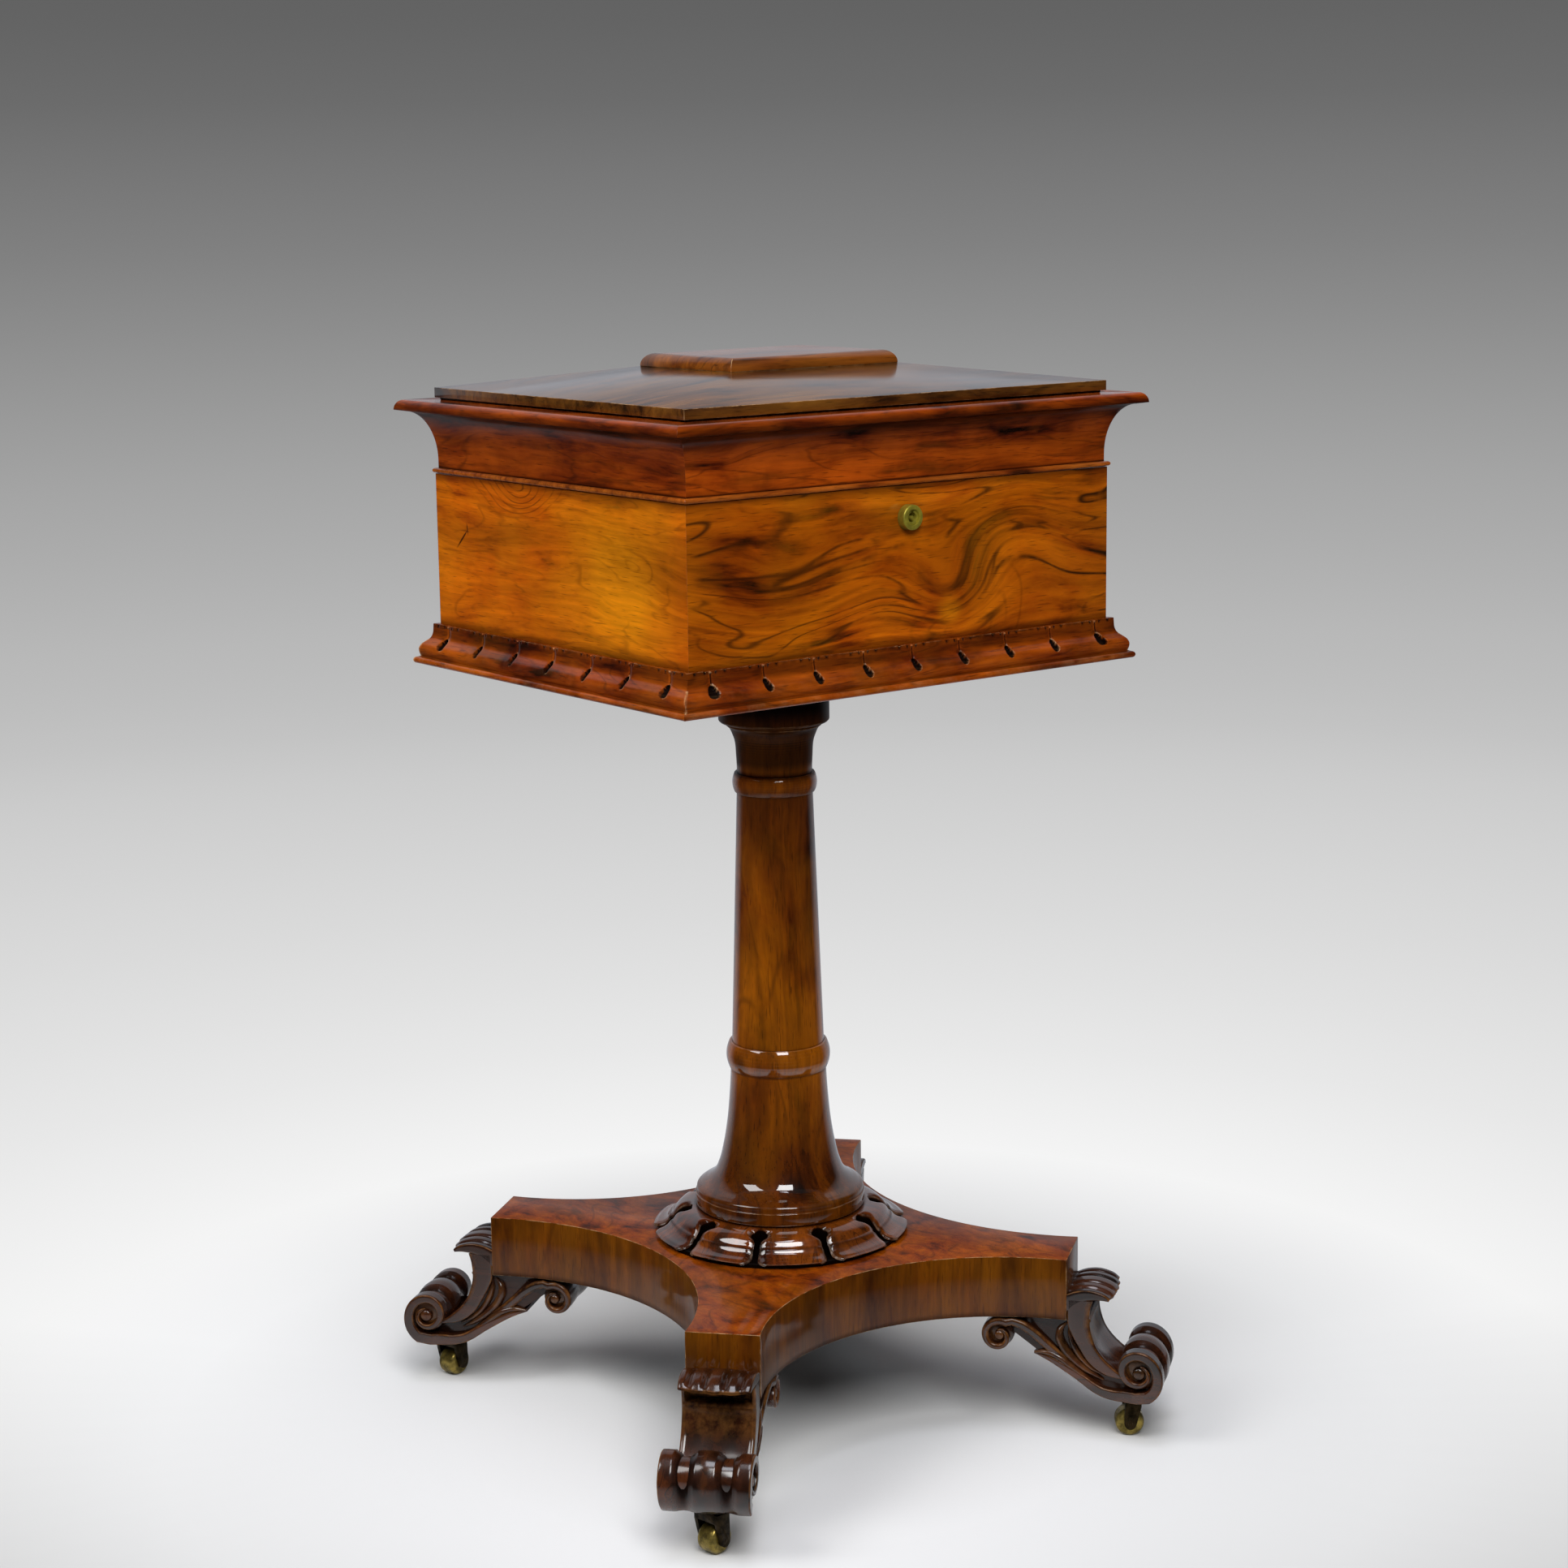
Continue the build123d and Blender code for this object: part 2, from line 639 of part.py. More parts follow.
def block(middle, half_width, half_depth, bottom, top):
    with BuildPart() as piece:
        with BuildSketch(Plane.XY.offset(bottom)):
            with Locations(middle):
                Rectangle(2 * half_width, 2 * half_depth)
        extrude(amount=top - bottom)
    return piece.part


for name, hand in (("left", -1), ("right", 1)):
    save(block((hand * (bay_half_width + partition / 2), 0), partition / 2, inner_half_depth,
               chest_floor, partition_top), "partition_" + name)
    save(block((hand * cell_x, 0), cell_half_width, partition / 2, chest_floor, partition_top),
         "canister_divider_" + name)

bowl_places = {"front": -bowl_spread, "back": bowl_spread}
with BuildPart() as bowl_tray:
    add(block((0, 0), bay_side, inner_half_depth, partition_top, tray_top))
    with BuildSketch(Plane.XY.offset(partition_top)):
        with Locations(*[(0, y) for y in bowl_places.values()]):
            Circle(bowl_radius + bowl_clearance)
    extrude(amount=tray_thickness, mode=Mode.SUBTRACT)
save(bowl_tray.part, "bowl_tray")

bowl_bottom = tray_top - bowl_depth
bowl_middle = tray_top - bowl_depth / 2
bowl_top = tray_top + bowl_rim
flange_top = tray_top + bowl_flange
flange_radius = bowl_radius + bowl_flange_reach
bowl_inside = bowl_radius - bowl_wall
with BuildPart() as bowl:
    with BuildSketch(Plane.XZ):
        with BuildLine():
            Line((0, bowl_bottom), (bowl_foot_radius, bowl_bottom))
            Spline((bowl_foot_radius, bowl_bottom), (bowl_inside, bowl_middle), (bowl_radius, tray_top),
                   tangents=((1, bowl_foot_slope), (0, 1)))
            Polyline((bowl_radius, tray_top), (flange_radius, tray_top), (flange_radius, flange_top),
                     (bowl_radius, flange_top), (bowl_radius, bowl_top), (bowl_inside, bowl_top),
                     (bowl_inside, tray_top))
            Spline((bowl_inside, tray_top), (bowl_inside - bowl_wall, bowl_middle + bowl_wall / 2),
                   (bowl_foot_radius - bowl_wall, bowl_bottom + bowl_floor),
                   tangents=((0, -1), (-1, -bowl_foot_slope)))
            Polyline((bowl_foot_radius - bowl_wall, bowl_bottom + bowl_floor),
                     (0, bowl_bottom + bowl_floor), (0, bowl_bottom))
        make_face()
    revolve(axis=Axis.Z)
for name, y in bowl_places.items():
    save(bowl.part.moved(Location((0, y, 0))), "glass_bowl_" + name)

canister_half_width = cell_half_width - canister_clearance
canister_half_depth = cell_half_depth - canister_clearance
plug_inset = canister_wall + canister_plug_clearance
for name, (hand_x, hand_y) in corners.items():
    middle = (hand_x * cell_x, hand_y * cell_y)
    with BuildPart() as canister:
        add(block(middle, canister_half_width, canister_half_depth, chest_floor, canister_top))
        add(block(middle, canister_half_width - canister_wall, canister_half_depth - canister_wall,
                  chest_floor + canister_wall, canister_top), mode=Mode.SUBTRACT)
    save(canister.part, "canister_" + name)

    with BuildPart() as cover:
        add(block(middle, canister_half_width, canister_half_depth, canister_top, tray_top))
        add(block(middle, canister_half_width - plug_inset, canister_half_depth - plug_inset,
                  canister_top - canister_plug, canister_top))
        with BuildSketch(Plane.XY.offset(tray_top)):
            with Locations(middle):
                Circle(knob_spigot_radius + screw_clearance)
        extrude(amount=-canister_lid, mode=Mode.SUBTRACT)
    with BuildPart() as knob:
        with BuildSketch(Plane.XY.offset(canister_top)):
            with Locations(middle):
                Circle(knob_spigot_radius)
        extrude(amount=canister_lid)
        with BuildSketch(Plane.XY.offset(tray_top)):
            with Locations(middle):
                Circle(knob_radius)
        extrude(amount=knob_height)
        fillet(knob.faces().sort_by(Axis.Z)[-1].edges(), knob_roll)
    save(Compound(children=[cover.part, knob.part]), "canister_lid_" + name)

# ---- Stand: column ----

with BuildPart() as column_plate_disc:
    with BuildSketch(Plane.XY.offset(column_plate_bottom)):
        Circle(column_plate_radius)
        Circle(column_tenon_radius + tenon_clearance, mode=Mode.SUBTRACT)
    extrude(amount=column_plate)
    add(screw_bores(column_plate_screws, *plate_screw), mode=Mode.SUBTRACT)
save(column_plate_disc.part, "column_plate")

tenon_bottom = platform_top - column_tenon
flare_lines = [[(disc_radius, disc_top)]]
for points in (flare_rim, flare_hollow, flare_rise):
    flare_lines[-1] += [(radius, disc_top + height) for radius, height in points]
    flare_lines.append([flare_lines[-1][-1]])
flare_lines.pop()
flare_lines[-1].append((flare_top_radius, flare_top))
neck_line = [(neck_radius, neck_bottom)] + [(radius, neck_bottom + height) for radius, height in neck_curve]
lower_edge = lower_collar_radius - lower_collar_edge
upper_edge = upper_collar_radius - upper_collar_edge
with BuildPart() as column:
    with BuildSketch(Plane.XZ):
        with BuildLine():
            Polyline((0, tenon_bottom), (column_tenon_radius, tenon_bottom),
                     (column_tenon_radius, lotus_top), (disc_radius - disc_edge, lotus_top),
                     (disc_radius, lotus_top + disc_edge), (disc_radius, disc_top))
            for line, ends in zip(flare_lines, zip(flare_ends, flare_ends[1:])):
                Spline(*line, tangents=ends)
            Line((flare_top_radius, flare_top), (lower_edge, flare_top))
            ThreePointArc((lower_edge, flare_top), (lower_collar_radius, flare_top + lower_collar / 2),
                          (lower_edge, shaft_bottom))
            Polyline((lower_edge, shaft_bottom), (shaft_bottom_radius, shaft_bottom),
                     (shaft_top_radius, shaft_top), (upper_edge, shaft_top))
            ThreePointArc((upper_edge, shaft_top), (upper_collar_radius, shaft_top + upper_collar / 2),
                          (upper_edge, neck_bottom))
            Line((upper_edge, neck_bottom), neck_line[0])
            Spline(*neck_line, tangents=neck_ends)
            Polyline(neck_line[-1], (neck_line[-1][0], cap_bottom), (cap_radius - cap_edge, cap_bottom),
                     (cap_radius, cap_bottom + cap_edge), (cap_radius, column_plate_bottom),
                     (column_tenon_radius, column_plate_bottom), (column_tenon_radius, chest_bottom),
                     (0, chest_bottom), (0, tenon_bottom))
        make_face()
    revolve(axis=Axis.Z)
save(column.part, "column")

# ---- Stand: collar of petals over the platform ----

with BuildPart() as lotus:
    with BuildSketch(Plane.XZ):
        with BuildLine():
            bore = column_tenon_radius + tenon_clearance
            edge_top = plinth_top + lotus_edge
            Polyline((bore, platform_top), (lotus_plinth_radius, platform_top),
                     (lotus_plinth_radius, plinth_top), (lotus_radius - lotus_edge, plinth_top),
                     (lotus_radius, edge_top))
            Spline((lotus_radius, edge_top), (lotus_top_radius, lotus_top), tangents=lotus_ends)
            Polyline((lotus_top_radius, lotus_top), (bore, lotus_top), (bore, platform_top))
        make_face()
    revolve(axis=Axis.Z)
    with BuildSketch(Plane.XY.offset(lotus_top)):
        with PolarLocations(lotus_bulb_reach, lotus_petals, start_angle=lotus_phase):
            Circle(lotus_bulb_radius)
            with Locations(((lotus_radius - lotus_bulb_reach) / 2, 0)):
                Rectangle(lotus_radius - lotus_bulb_reach, lotus_slot)
    extrude(amount=-lotus_slot_depth, mode=Mode.SUBTRACT)
save(lotus.part, "lotus_collar")

# ---- Stand: platform ----

arm_angles = {
    "front_left": 180 + arm_angle,
    "front_right": -arm_angle,
    "back_right": arm_angle,
    "back_left": 180 - arm_angle,
}
platform_plane = Plane(origin=(0, 0, platform_bottom),
                       x_dir=(cos(radians(base_twist)), sin(radians(base_twist)), 0), z_dir=(0, 0, 1))


def arm_corner(name, hand):
    angle = radians(arm_angles[name])
    return (arm_reach * cos(angle) - hand * arm_half_width * sin(angle),
            arm_reach * sin(angle) + hand * arm_half_width * cos(angle))


waists = (
    ("front_right", (waist_side, 0), "back_right"),
    ("back_right", (0, waist_front), "back_left"),
    ("back_left", (-waist_side, 0), "front_left"),
    ("front_left", (0, -waist_front), "front_right"),
)
with BuildPart() as platform:
    with BuildSketch(platform_plane):
        with BuildLine():
            for arm, waist, next_arm in waists:
                Line(arm_corner(arm, -1), arm_corner(arm, 1))
                ThreePointArc(arm_corner(arm, 1), waist, arm_corner(next_arm, -1))
        make_face()
    extrude(amount=platform_thickness)
    with BuildSketch(Plane.XY.offset(platform_top)):
        Circle(column_tenon_radius + tenon_clearance)
    extrude(amount=-column_tenon, mode=Mode.SUBTRACT)
save(platform.part, "platform")

# ---- Stand: feet ----
# A foot is drawn in the upright plane of its arm. It stands against the end of the arm and under
# it, curls over at the crest, and ends in a volute above the castor and a small one behind.

sole = -foot_height
volute_middle = (castor_outset + volute_outset, sole + volute_height)
inner_volute_middle = (-inner_volute_inset, -inner_volute_drop)
underside = [(castor_outset - castor_plate_radius, sole)]
underside += [(out, sole + height) for out, height in foot_underside]
for name, angle in arm_angles.items():
    turn = radians(angle + base_twist)
    outward = Vector(cos(turn), sin(turn), 0)
    arm_plane = Plane(origin=outward * arm_reach + Vector(0, 0, platform_bottom), x_dir=outward,
                      z_dir=(sin(turn), -cos(turn), 0))
    with BuildPart() as foot:
        with BuildSketch(arm_plane):
            with BuildLine():
                Spline(*foot_crest)
                Line(foot_crest[-1], foot_breast[0])
                Spline(*foot_breast)
                Polyline(foot_breast[-1], volute_middle, (castor_outset + castor_plate_radius, sole),
                         underside[0])
                Spline(*underside)
                Polyline(underside[-1], *foot_heel, (0, 0), foot_crest[0])
            make_face()
        extrude(amount=foot_half_width, both=True)
        with BuildSketch(arm_plane):
            with Locations(volute_middle):
                Circle(volute_radius)
        extrude(amount=volute_half_width, both=True)
        with BuildSketch(arm_plane):
            with Locations(inner_volute_middle):
                Circle(inner_volute_radius)
        extrude(amount=inner_volute_half_width, both=True)
        with BuildSketch(Plane.XY.offset(castor_height)):
            with Locations(outward * (arm_reach + castor_outset)):
                Circle(castor_stem_radius + screw_clearance)
        extrude(amount=castor_stem, mode=Mode.SUBTRACT)
    save(foot.part, "foot_" + name)

# ---- Castors ----
# The plate with its stem and pintle is fixed in the foot, the horn turns on the pintle, and the
# wheel runs on an axle beside the swivel axis.

castor_reach = arm_reach + castor_outset
castor_angles = {name: radians(angle + base_twist) for name, angle in arm_angles.items()}
castor_places = {name: Vector(cos(angle), sin(angle), 0) * castor_reach
                 for name, angle in castor_angles.items()}
plate_bottom = castor_height - castor_plate
crown_top = plate_bottom - swivel_gap
crown_bottom = crown_top - horn_crown
cheek_inside = wheel_width / 2 + wheel_side_gap
horn_half_width = cheek_inside + horn_cheek

with BuildPart() as castor_plates:
    for place in castor_places.values():
        for radius, bottom, height in (
            (castor_plate_radius, plate_bottom, castor_plate),
            (castor_stem_radius, castor_height, castor_stem),
            (pintle_radius, crown_bottom + pintle_end_gap, plate_bottom - crown_bottom - pintle_end_gap),
        ):
            with BuildSketch(Plane.XY.offset(bottom)):
                with Locations(place):
                    Circle(radius)
            extrude(amount=height)
save(castor_plates.part, "castor_plates")

for name, place in castor_places.items():
    turn = radians(axle_directions[name])
    side_plane = Plane(origin=place, x_dir=(-sin(turn), cos(turn), 0), z_dir=(cos(turn), sin(turn), 0))
    wheel_middle = (castor_trail, wheel_radius)

    with BuildPart() as horn:
        with BuildSketch(side_plane):
            with Locations((0, (crown_top + crown_bottom) / 2)):
                Rectangle(horn_depth, horn_crown)
        extrude(amount=horn_half_width, both=True)
        for plane, reach in ((side_plane.offset(cheek_inside), horn_cheek),
                             (side_plane.offset(-cheek_inside), -horn_cheek)):
            with BuildSketch(plane):
                with Locations((0, (crown_top + crown_bottom) / 2)):
                    Rectangle(horn_depth, horn_crown)
                with Locations(wheel_middle):
                    Circle(horn_eye_radius)
                make_hull()
            extrude(amount=reach)
        with BuildSketch(side_plane):
            with Locations(wheel_middle):
                Circle(axle_radius + axle_clearance)
        extrude(amount=horn_half_width, both=True, mode=Mode.SUBTRACT)
        with BuildSketch(Plane.XY.offset(crown_bottom)):
            with Locations(place):
                Circle(pintle_radius + pin_clearance)
        extrude(amount=horn_crown, mode=Mode.SUBTRACT)
    with BuildPart() as axle:
        with BuildSketch(side_plane):
            with Locations(wheel_middle):
                Circle(axle_radius)
        extrude(amount=horn_half_width, both=True)
    save(Compound(children=[horn.part, axle.part]), "castor_horn_" + name)

    with BuildPart() as wheel:
        with BuildSketch(side_plane):
            with Locations(wheel_middle):
                Circle(wheel_radius)
        extrude(amount=wheel_width / 2, both=True)
        fillet(wheel.edges().filter_by(GeomType.CIRCLE), wheel_edge)
        with BuildSketch(side_plane):
            with Locations(wheel_middle):
                Circle(axle_radius + axle_clearance)
        extrude(amount=wheel_width / 2, both=True, mode=Mode.SUBTRACT)
    save(wheel.part, "castor_wheel_" + name)
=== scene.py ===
import json
from math import radians

import bmesh
import bpy
import numpy as np
from mathutils import Matrix, Vector

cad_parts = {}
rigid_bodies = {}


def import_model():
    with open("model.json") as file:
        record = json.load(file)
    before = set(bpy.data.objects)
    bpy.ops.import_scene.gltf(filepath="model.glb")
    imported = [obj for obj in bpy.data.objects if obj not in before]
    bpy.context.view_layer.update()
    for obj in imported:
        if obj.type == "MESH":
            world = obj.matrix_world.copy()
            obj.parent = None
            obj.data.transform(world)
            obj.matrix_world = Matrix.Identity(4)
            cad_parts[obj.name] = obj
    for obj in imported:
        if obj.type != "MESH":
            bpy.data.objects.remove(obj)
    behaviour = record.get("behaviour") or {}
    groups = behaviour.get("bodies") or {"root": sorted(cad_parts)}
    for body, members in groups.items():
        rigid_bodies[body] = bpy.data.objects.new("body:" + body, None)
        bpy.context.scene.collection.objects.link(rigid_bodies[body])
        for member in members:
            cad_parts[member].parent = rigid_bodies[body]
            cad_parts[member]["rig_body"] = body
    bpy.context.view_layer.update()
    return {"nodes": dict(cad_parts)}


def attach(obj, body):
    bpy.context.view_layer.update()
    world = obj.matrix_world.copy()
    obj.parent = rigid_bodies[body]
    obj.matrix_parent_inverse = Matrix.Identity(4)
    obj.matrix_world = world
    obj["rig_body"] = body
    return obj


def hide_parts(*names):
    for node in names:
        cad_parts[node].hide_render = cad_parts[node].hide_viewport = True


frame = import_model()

print("frame loaded,", len(frame["nodes"]), "nodes")

# The tables below are in millimetres, turned to metres when a mesh is made.
mm = 0.001

# ---- Shapes worked out on grids ----


def smoothLine(points, steps=6, startSlope=None, endSlope=None):
    # cubic pieces through the points; the slope at a point is the mean of the two chords beside it,
    # each weighted by the length of the other one
    p = np.array(points, float)
    gaps = np.linalg.norm(np.diff(p, axis=0), axis=1)[:, None]
    chords = np.diff(p, axis=0) / gaps
    inner = (chords[:-1] * gaps[1:] + chords[1:] * gaps[:-1]) / (gaps[1:] + gaps[:-1])
    first = chords[:1] if startSlope is None else np.array([startSlope], float)
    last = chords[-1:] if endSlope is None else np.array([endSlope], float)
    slopes = np.vstack([first, inner, last])
    t = np.linspace(0, 1, steps, endpoint=False)[None, :, None]
    leave = slopes[:-1, None] * gaps[:, None]
    arrive = slopes[1:, None] * gaps[:, None]
    line = ((2 * t**3 - 3 * t**2 + 1) * p[:-1, None] + (t**3 - 2 * t**2 + t) * leave
            + (3 * t**2 - 2 * t**3) * p[1:, None] + (t**3 - t**2) * arrive)
    return np.vstack([line.reshape(-1, p.shape[1]), p[-1:]])


def bump(x, width):
    # 1 at x = 0, falling as a squared cosine to 0 at x = width on either side
    return np.cos(np.clip(np.abs(x) / width, 0, 1) * np.pi / 2) ** 2


def ease(x, low, high):
    # 0 below low, 1 above high, with a smooth step between
    t = np.clip((x - low) / (high - low), 0, 1)
    return t * t * (3 - 2 * t)


def leftOf(line):
    # unit normals on the left of a plane line, from the difference of each point's neighbours
    run = np.gradient(line, axis=0)
    run /= np.linalg.norm(run, axis=1)[:, None]
    return np.stack([-run[:, 1], run[:, 0]], axis=1)


def softened(section, radius, steps=4):
    # a closed section, counter-clockwise, with each corner replaced by a short parabola that starts
    # radius before it and ends radius after it; also how sharp each corner was, the sine of its turn
    p = np.array(section, float)
    back = np.roll(p, 1, axis=0) - p
    on = np.roll(p, -1, axis=0) - p
    backLength = np.linalg.norm(back, axis=1)[:, None]
    onLength = np.linalg.norm(on, axis=1)[:, None]
    cut = np.minimum(radius, 0.45 * np.minimum(backLength, onLength))
    start = p + back / backLength * cut
    end = p + on / onLength * cut
    t = np.linspace(0, 1, steps)[None, :, None]
    curve = (1 - t) ** 2 * start[:, None] + 2 * t * (1 - t) * p[:, None] + t**2 * end[:, None]
    turn = (on[:, 0] * back[:, 1] - on[:, 1] * back[:, 0]) / (backLength * onLength)[:, 0]
    sharp = turn[:, None] * (1 - np.abs(2 * t[..., 0] - 1))
    return curve.reshape(-1, 2), sharp.ravel()


def gridQuads(index):
    # the quads between rows of points that each run round and back to their start
    beside = np.roll(index, -1, axis=1)
    return np.stack([index[:-1], beside[:-1], beside[1:], index[1:]], axis=-1).reshape(-1, 4)


def tube(rings, wear=0.0, grime=0.0, grain=None):
    # a closed solid from rows of rings: rings is (stations, points round, 3), each row joined to the next,
    # and the first and last row closed by one flat face
    shape = rings.shape[:2]
    index = np.arange(shape[0] * shape[1]).reshape(shape)
    return {
        "points": rings.reshape(-1, 3),
        "faces": (gridQuads(index), index[:1, ::-1], index[-1:]),
        "wear": np.broadcast_to(wear, shape).ravel(),
        "grime": np.broadcast_to(grime, shape).ravel(),
        "grain": (rings if grain is None else grain).reshape(-1, 3),
    }


def turned(profile, around=160, wear=0.0, grime=0.0):
    # a profile of (radius, height) turned round the Z axis
    angle = np.linspace(0, 2 * np.pi, around, endpoint=False)
    radius, height = profile[:, :1], profile[:, 1:]
    rings = np.stack([radius * np.cos(angle), radius * np.sin(angle), height + 0 * angle], axis=-1)
    return tube(rings, np.reshape(wear, (-1, 1)), np.reshape(grime, (-1, 1)))


def camel(node):
    first, *rest = node.split("_")
    return first + "".join(word.capitalize() for word in rest)


def addFloats(mesh, name, values, kind="FLOAT"):
    layer = mesh.attributes.new(name, kind, "POINT")
    field = "vector" if kind == "FLOAT_VECTOR" else "value"
    layer.data.foreach_set(field, np.ravel(values).astype(np.float32))


def readArray(data, field, kind, width=1):
    values = np.empty(len(data) * width, kind)
    data.foreach_get(field, values)
    return values


def placePiece(name, mesh, material, sharpAngle, body, nodes):
    # one object of the scene: smooth, with edges over the angle kept sharp, riding on its body
    mesh.materials.append(material)
    mesh.shade_smooth()
    mesh.set_sharp_from_angle(angle=radians(sharpAngle))
    piece = bpy.data.objects.new(name, mesh)
    bpy.context.scene.collection.objects.link(piece)
    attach(piece, body)
    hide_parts(*nodes)
    print("made", name, len(mesh.polygons), "faces")
    return piece


def makePiece(name, shells, material, body, nodes, sharpAngle):
    # one object from closed shells: joined, seams merged, faces turned outwards
    offsets = np.cumsum([0] + [len(shell["points"]) for shell in shells[:-1]])
    faces = []
    for shell, offset in zip(shells, offsets):
        for block in shell["faces"]:
            faces += (block + offset).tolist()
    mesh = bpy.data.meshes.new(name)
    mesh.from_pydata(np.vstack([shell["points"] for shell in shells]) * mm, [], faces)
    # wear with a few painted highlights, and painted shade, kept on the points
    for layer in ("wear", "grime"):
        addFloats(mesh, layer, np.concatenate([shell[layer] for shell in shells]))
    addFloats(mesh, "grain", np.vstack([shell["grain"] for shell in shells]) * mm, "FLOAT_VECTOR")
    edit = bmesh.new()
    edit.from_mesh(mesh)
    bmesh.ops.remove_doubles(edit, verts=edit.verts, dist=1e-7)
    bmesh.ops.recalc_face_normals(edit, faces=edit.faces)
    edit.to_mesh(mesh)
    edit.free()
    return placePiece(name, mesh, material, sharpAngle, body, nodes)


def finishedCopy(node, material, axes="xyz", edge=0.35, shift=(0, 0, 0), wearShare=1.0):
    # a copy of a CAD solid with its triangles joined, its flat faces made whole and its sharp edges eased
    # by a small bevel, as sandpaper leaves them; the middle of each bevel is marked as worn, and the grain
    # runs along the first of the three axes named
    source = frame["nodes"][node]
    edit = bmesh.new()
    edit.from_mesh(source.data)
    bmesh.ops.remove_doubles(edit, verts=edit.verts, dist=2e-6)
    bmesh.ops.dissolve_limit(edit, angle_limit=radians(0.5), verts=edit.verts, edges=edit.edges)
    bevelled = []
    if edge:
        sharp = [e for e in edit.edges if e.is_manifold and e.calc_face_angle() > radians(35)]
        eased = bmesh.ops.bevel(edit, geom=sharp, offset=edge * mm, segments=2, profile=0.5,
                                affect="EDGES", clamp_overlap=True)
        edit.faces.index_update()
        bevelled = [face.index for face in eased["faces"]]
    mesh = bpy.data.meshes.new(camel(node))
    edit.to_mesh(mesh)
    edit.free()
    corners = readArray(mesh.loops, "vertex_index", np.int32)
    counts = readArray(mesh.polygons, "loop_total", np.int32)
    points = readArray(mesh.vertices, "co", np.float32, 3).reshape(-1, 3)
    plain = np.ones(len(counts), bool)
    plain[bevelled] = False
    worn = np.full(len(points), wearShare)
    worn[corners[np.repeat(plain, counts)]] = 0.0     # a point beside any plain face isn't worn
    addFloats(mesh, "wear", worn)
    order = ["xyz".index(axis) for axis in axes]
    addFloats(mesh, "grain", points[:, order] + np.array(shift) * mm, "FLOAT_VECTOR")
    return placePiece(camel(node), mesh, material, 30, source["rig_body"], [node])


# ---- Materials ----


def linear(hexColour):
    # sRGB hex to the linear values that shaders take
    srgb = np.array([int(hexColour[i:i + 2], 16) for i in (1, 3, 5)]) / 255
    return (*np.where(srgb <= 0.04045, srgb / 12.92, ((srgb + 0.055) / 1.055) ** 2.4), 1.0)


def addNode(tree, kind, settings=None):
    # one shader node. A setting is a property of the node, the value of an input, or the node or socket
    # that feeds this input
    made = tree.nodes.new("ShaderNode" + kind)
    for key, value in (settings or {}).items():
        if key == "stops":
            ramp = made.color_ramp.elements
            while len(ramp) < len(value):
                ramp.new(1.0)
            for stop, (place, colour) in zip(ramp, value):
                stop.position = place
                stop.color = linear(colour)
        elif isinstance(value, (bpy.types.Node, bpy.types.NodeSocket)):
            source = value.outputs[0] if isinstance(value, bpy.types.Node) else value
            tree.links.new(source, made.inputs[key])
        elif isinstance(key, int) or key in made.inputs:
            made.inputs[key].default_value = value
        else:
            setattr(made, key, value)
    return made


def attribute(tree, name, output="Fac"):
    return addNode(tree, "Attribute", {"attribute_name": name}).outputs[output]


def noise(tree, place, scale, detail=2.0, roughness=0.5, distortion=0.0):
    return addNode(tree, "TexNoise", {"Vector": place, "Scale": scale, "Detail": detail,
                                      "Roughness": roughness, "Distortion": distortion})


def stretched(tree, place, scale):
    return addNode(tree, "Mapping", {"Vector": place, "Scale": scale})


def calc(tree, operation, first, second=0.5, clamp=False):
    return addNode(tree, "Math", {"operation": operation, "use_clamp": clamp, 0: first, 1: second}).outputs[0]


def vectorCalc(tree, operation, first, second=(0, 0, 0)):
    made = addNode(tree, "VectorMath", {"operation": operation, 0: first,
                                        "Scale" if operation == "SCALE" else 1: second})
    return made.outputs["Value" if operation in ("LENGTH", "DISTANCE", "DOT_PRODUCT") else "Vector"]


def remap(tree, value, low, high, least=0.0, most=1.0, smooth=False):
    # low becomes least and high becomes most, with no value outside the two
    return addNode(tree, "MapRange", {
        "interpolation_type": "SMOOTHSTEP" if smooth else "LINEAR", "Value": value,
        "From Min": low, "From Max": high, "To Min": least, "To Max": most}).outputs[0]


def blend(tree, share, first, second, kind="MIX"):
    return addNode(tree, "Mix", {"data_type": "RGBA", "blend_type": kind, 0: share, 6: first,
                                 7: second}).outputs[2]


def newMaterial(name):
    material = bpy.data.materials.new(name)
    material.use_nodes = True
    material.node_tree.nodes.clear()
    return material, material.node_tree


def finishMaterial(tree, settings):
    addNode(tree, "OutputMaterial", {"Surface": addNode(tree, "BsdfPrincipled", settings)})


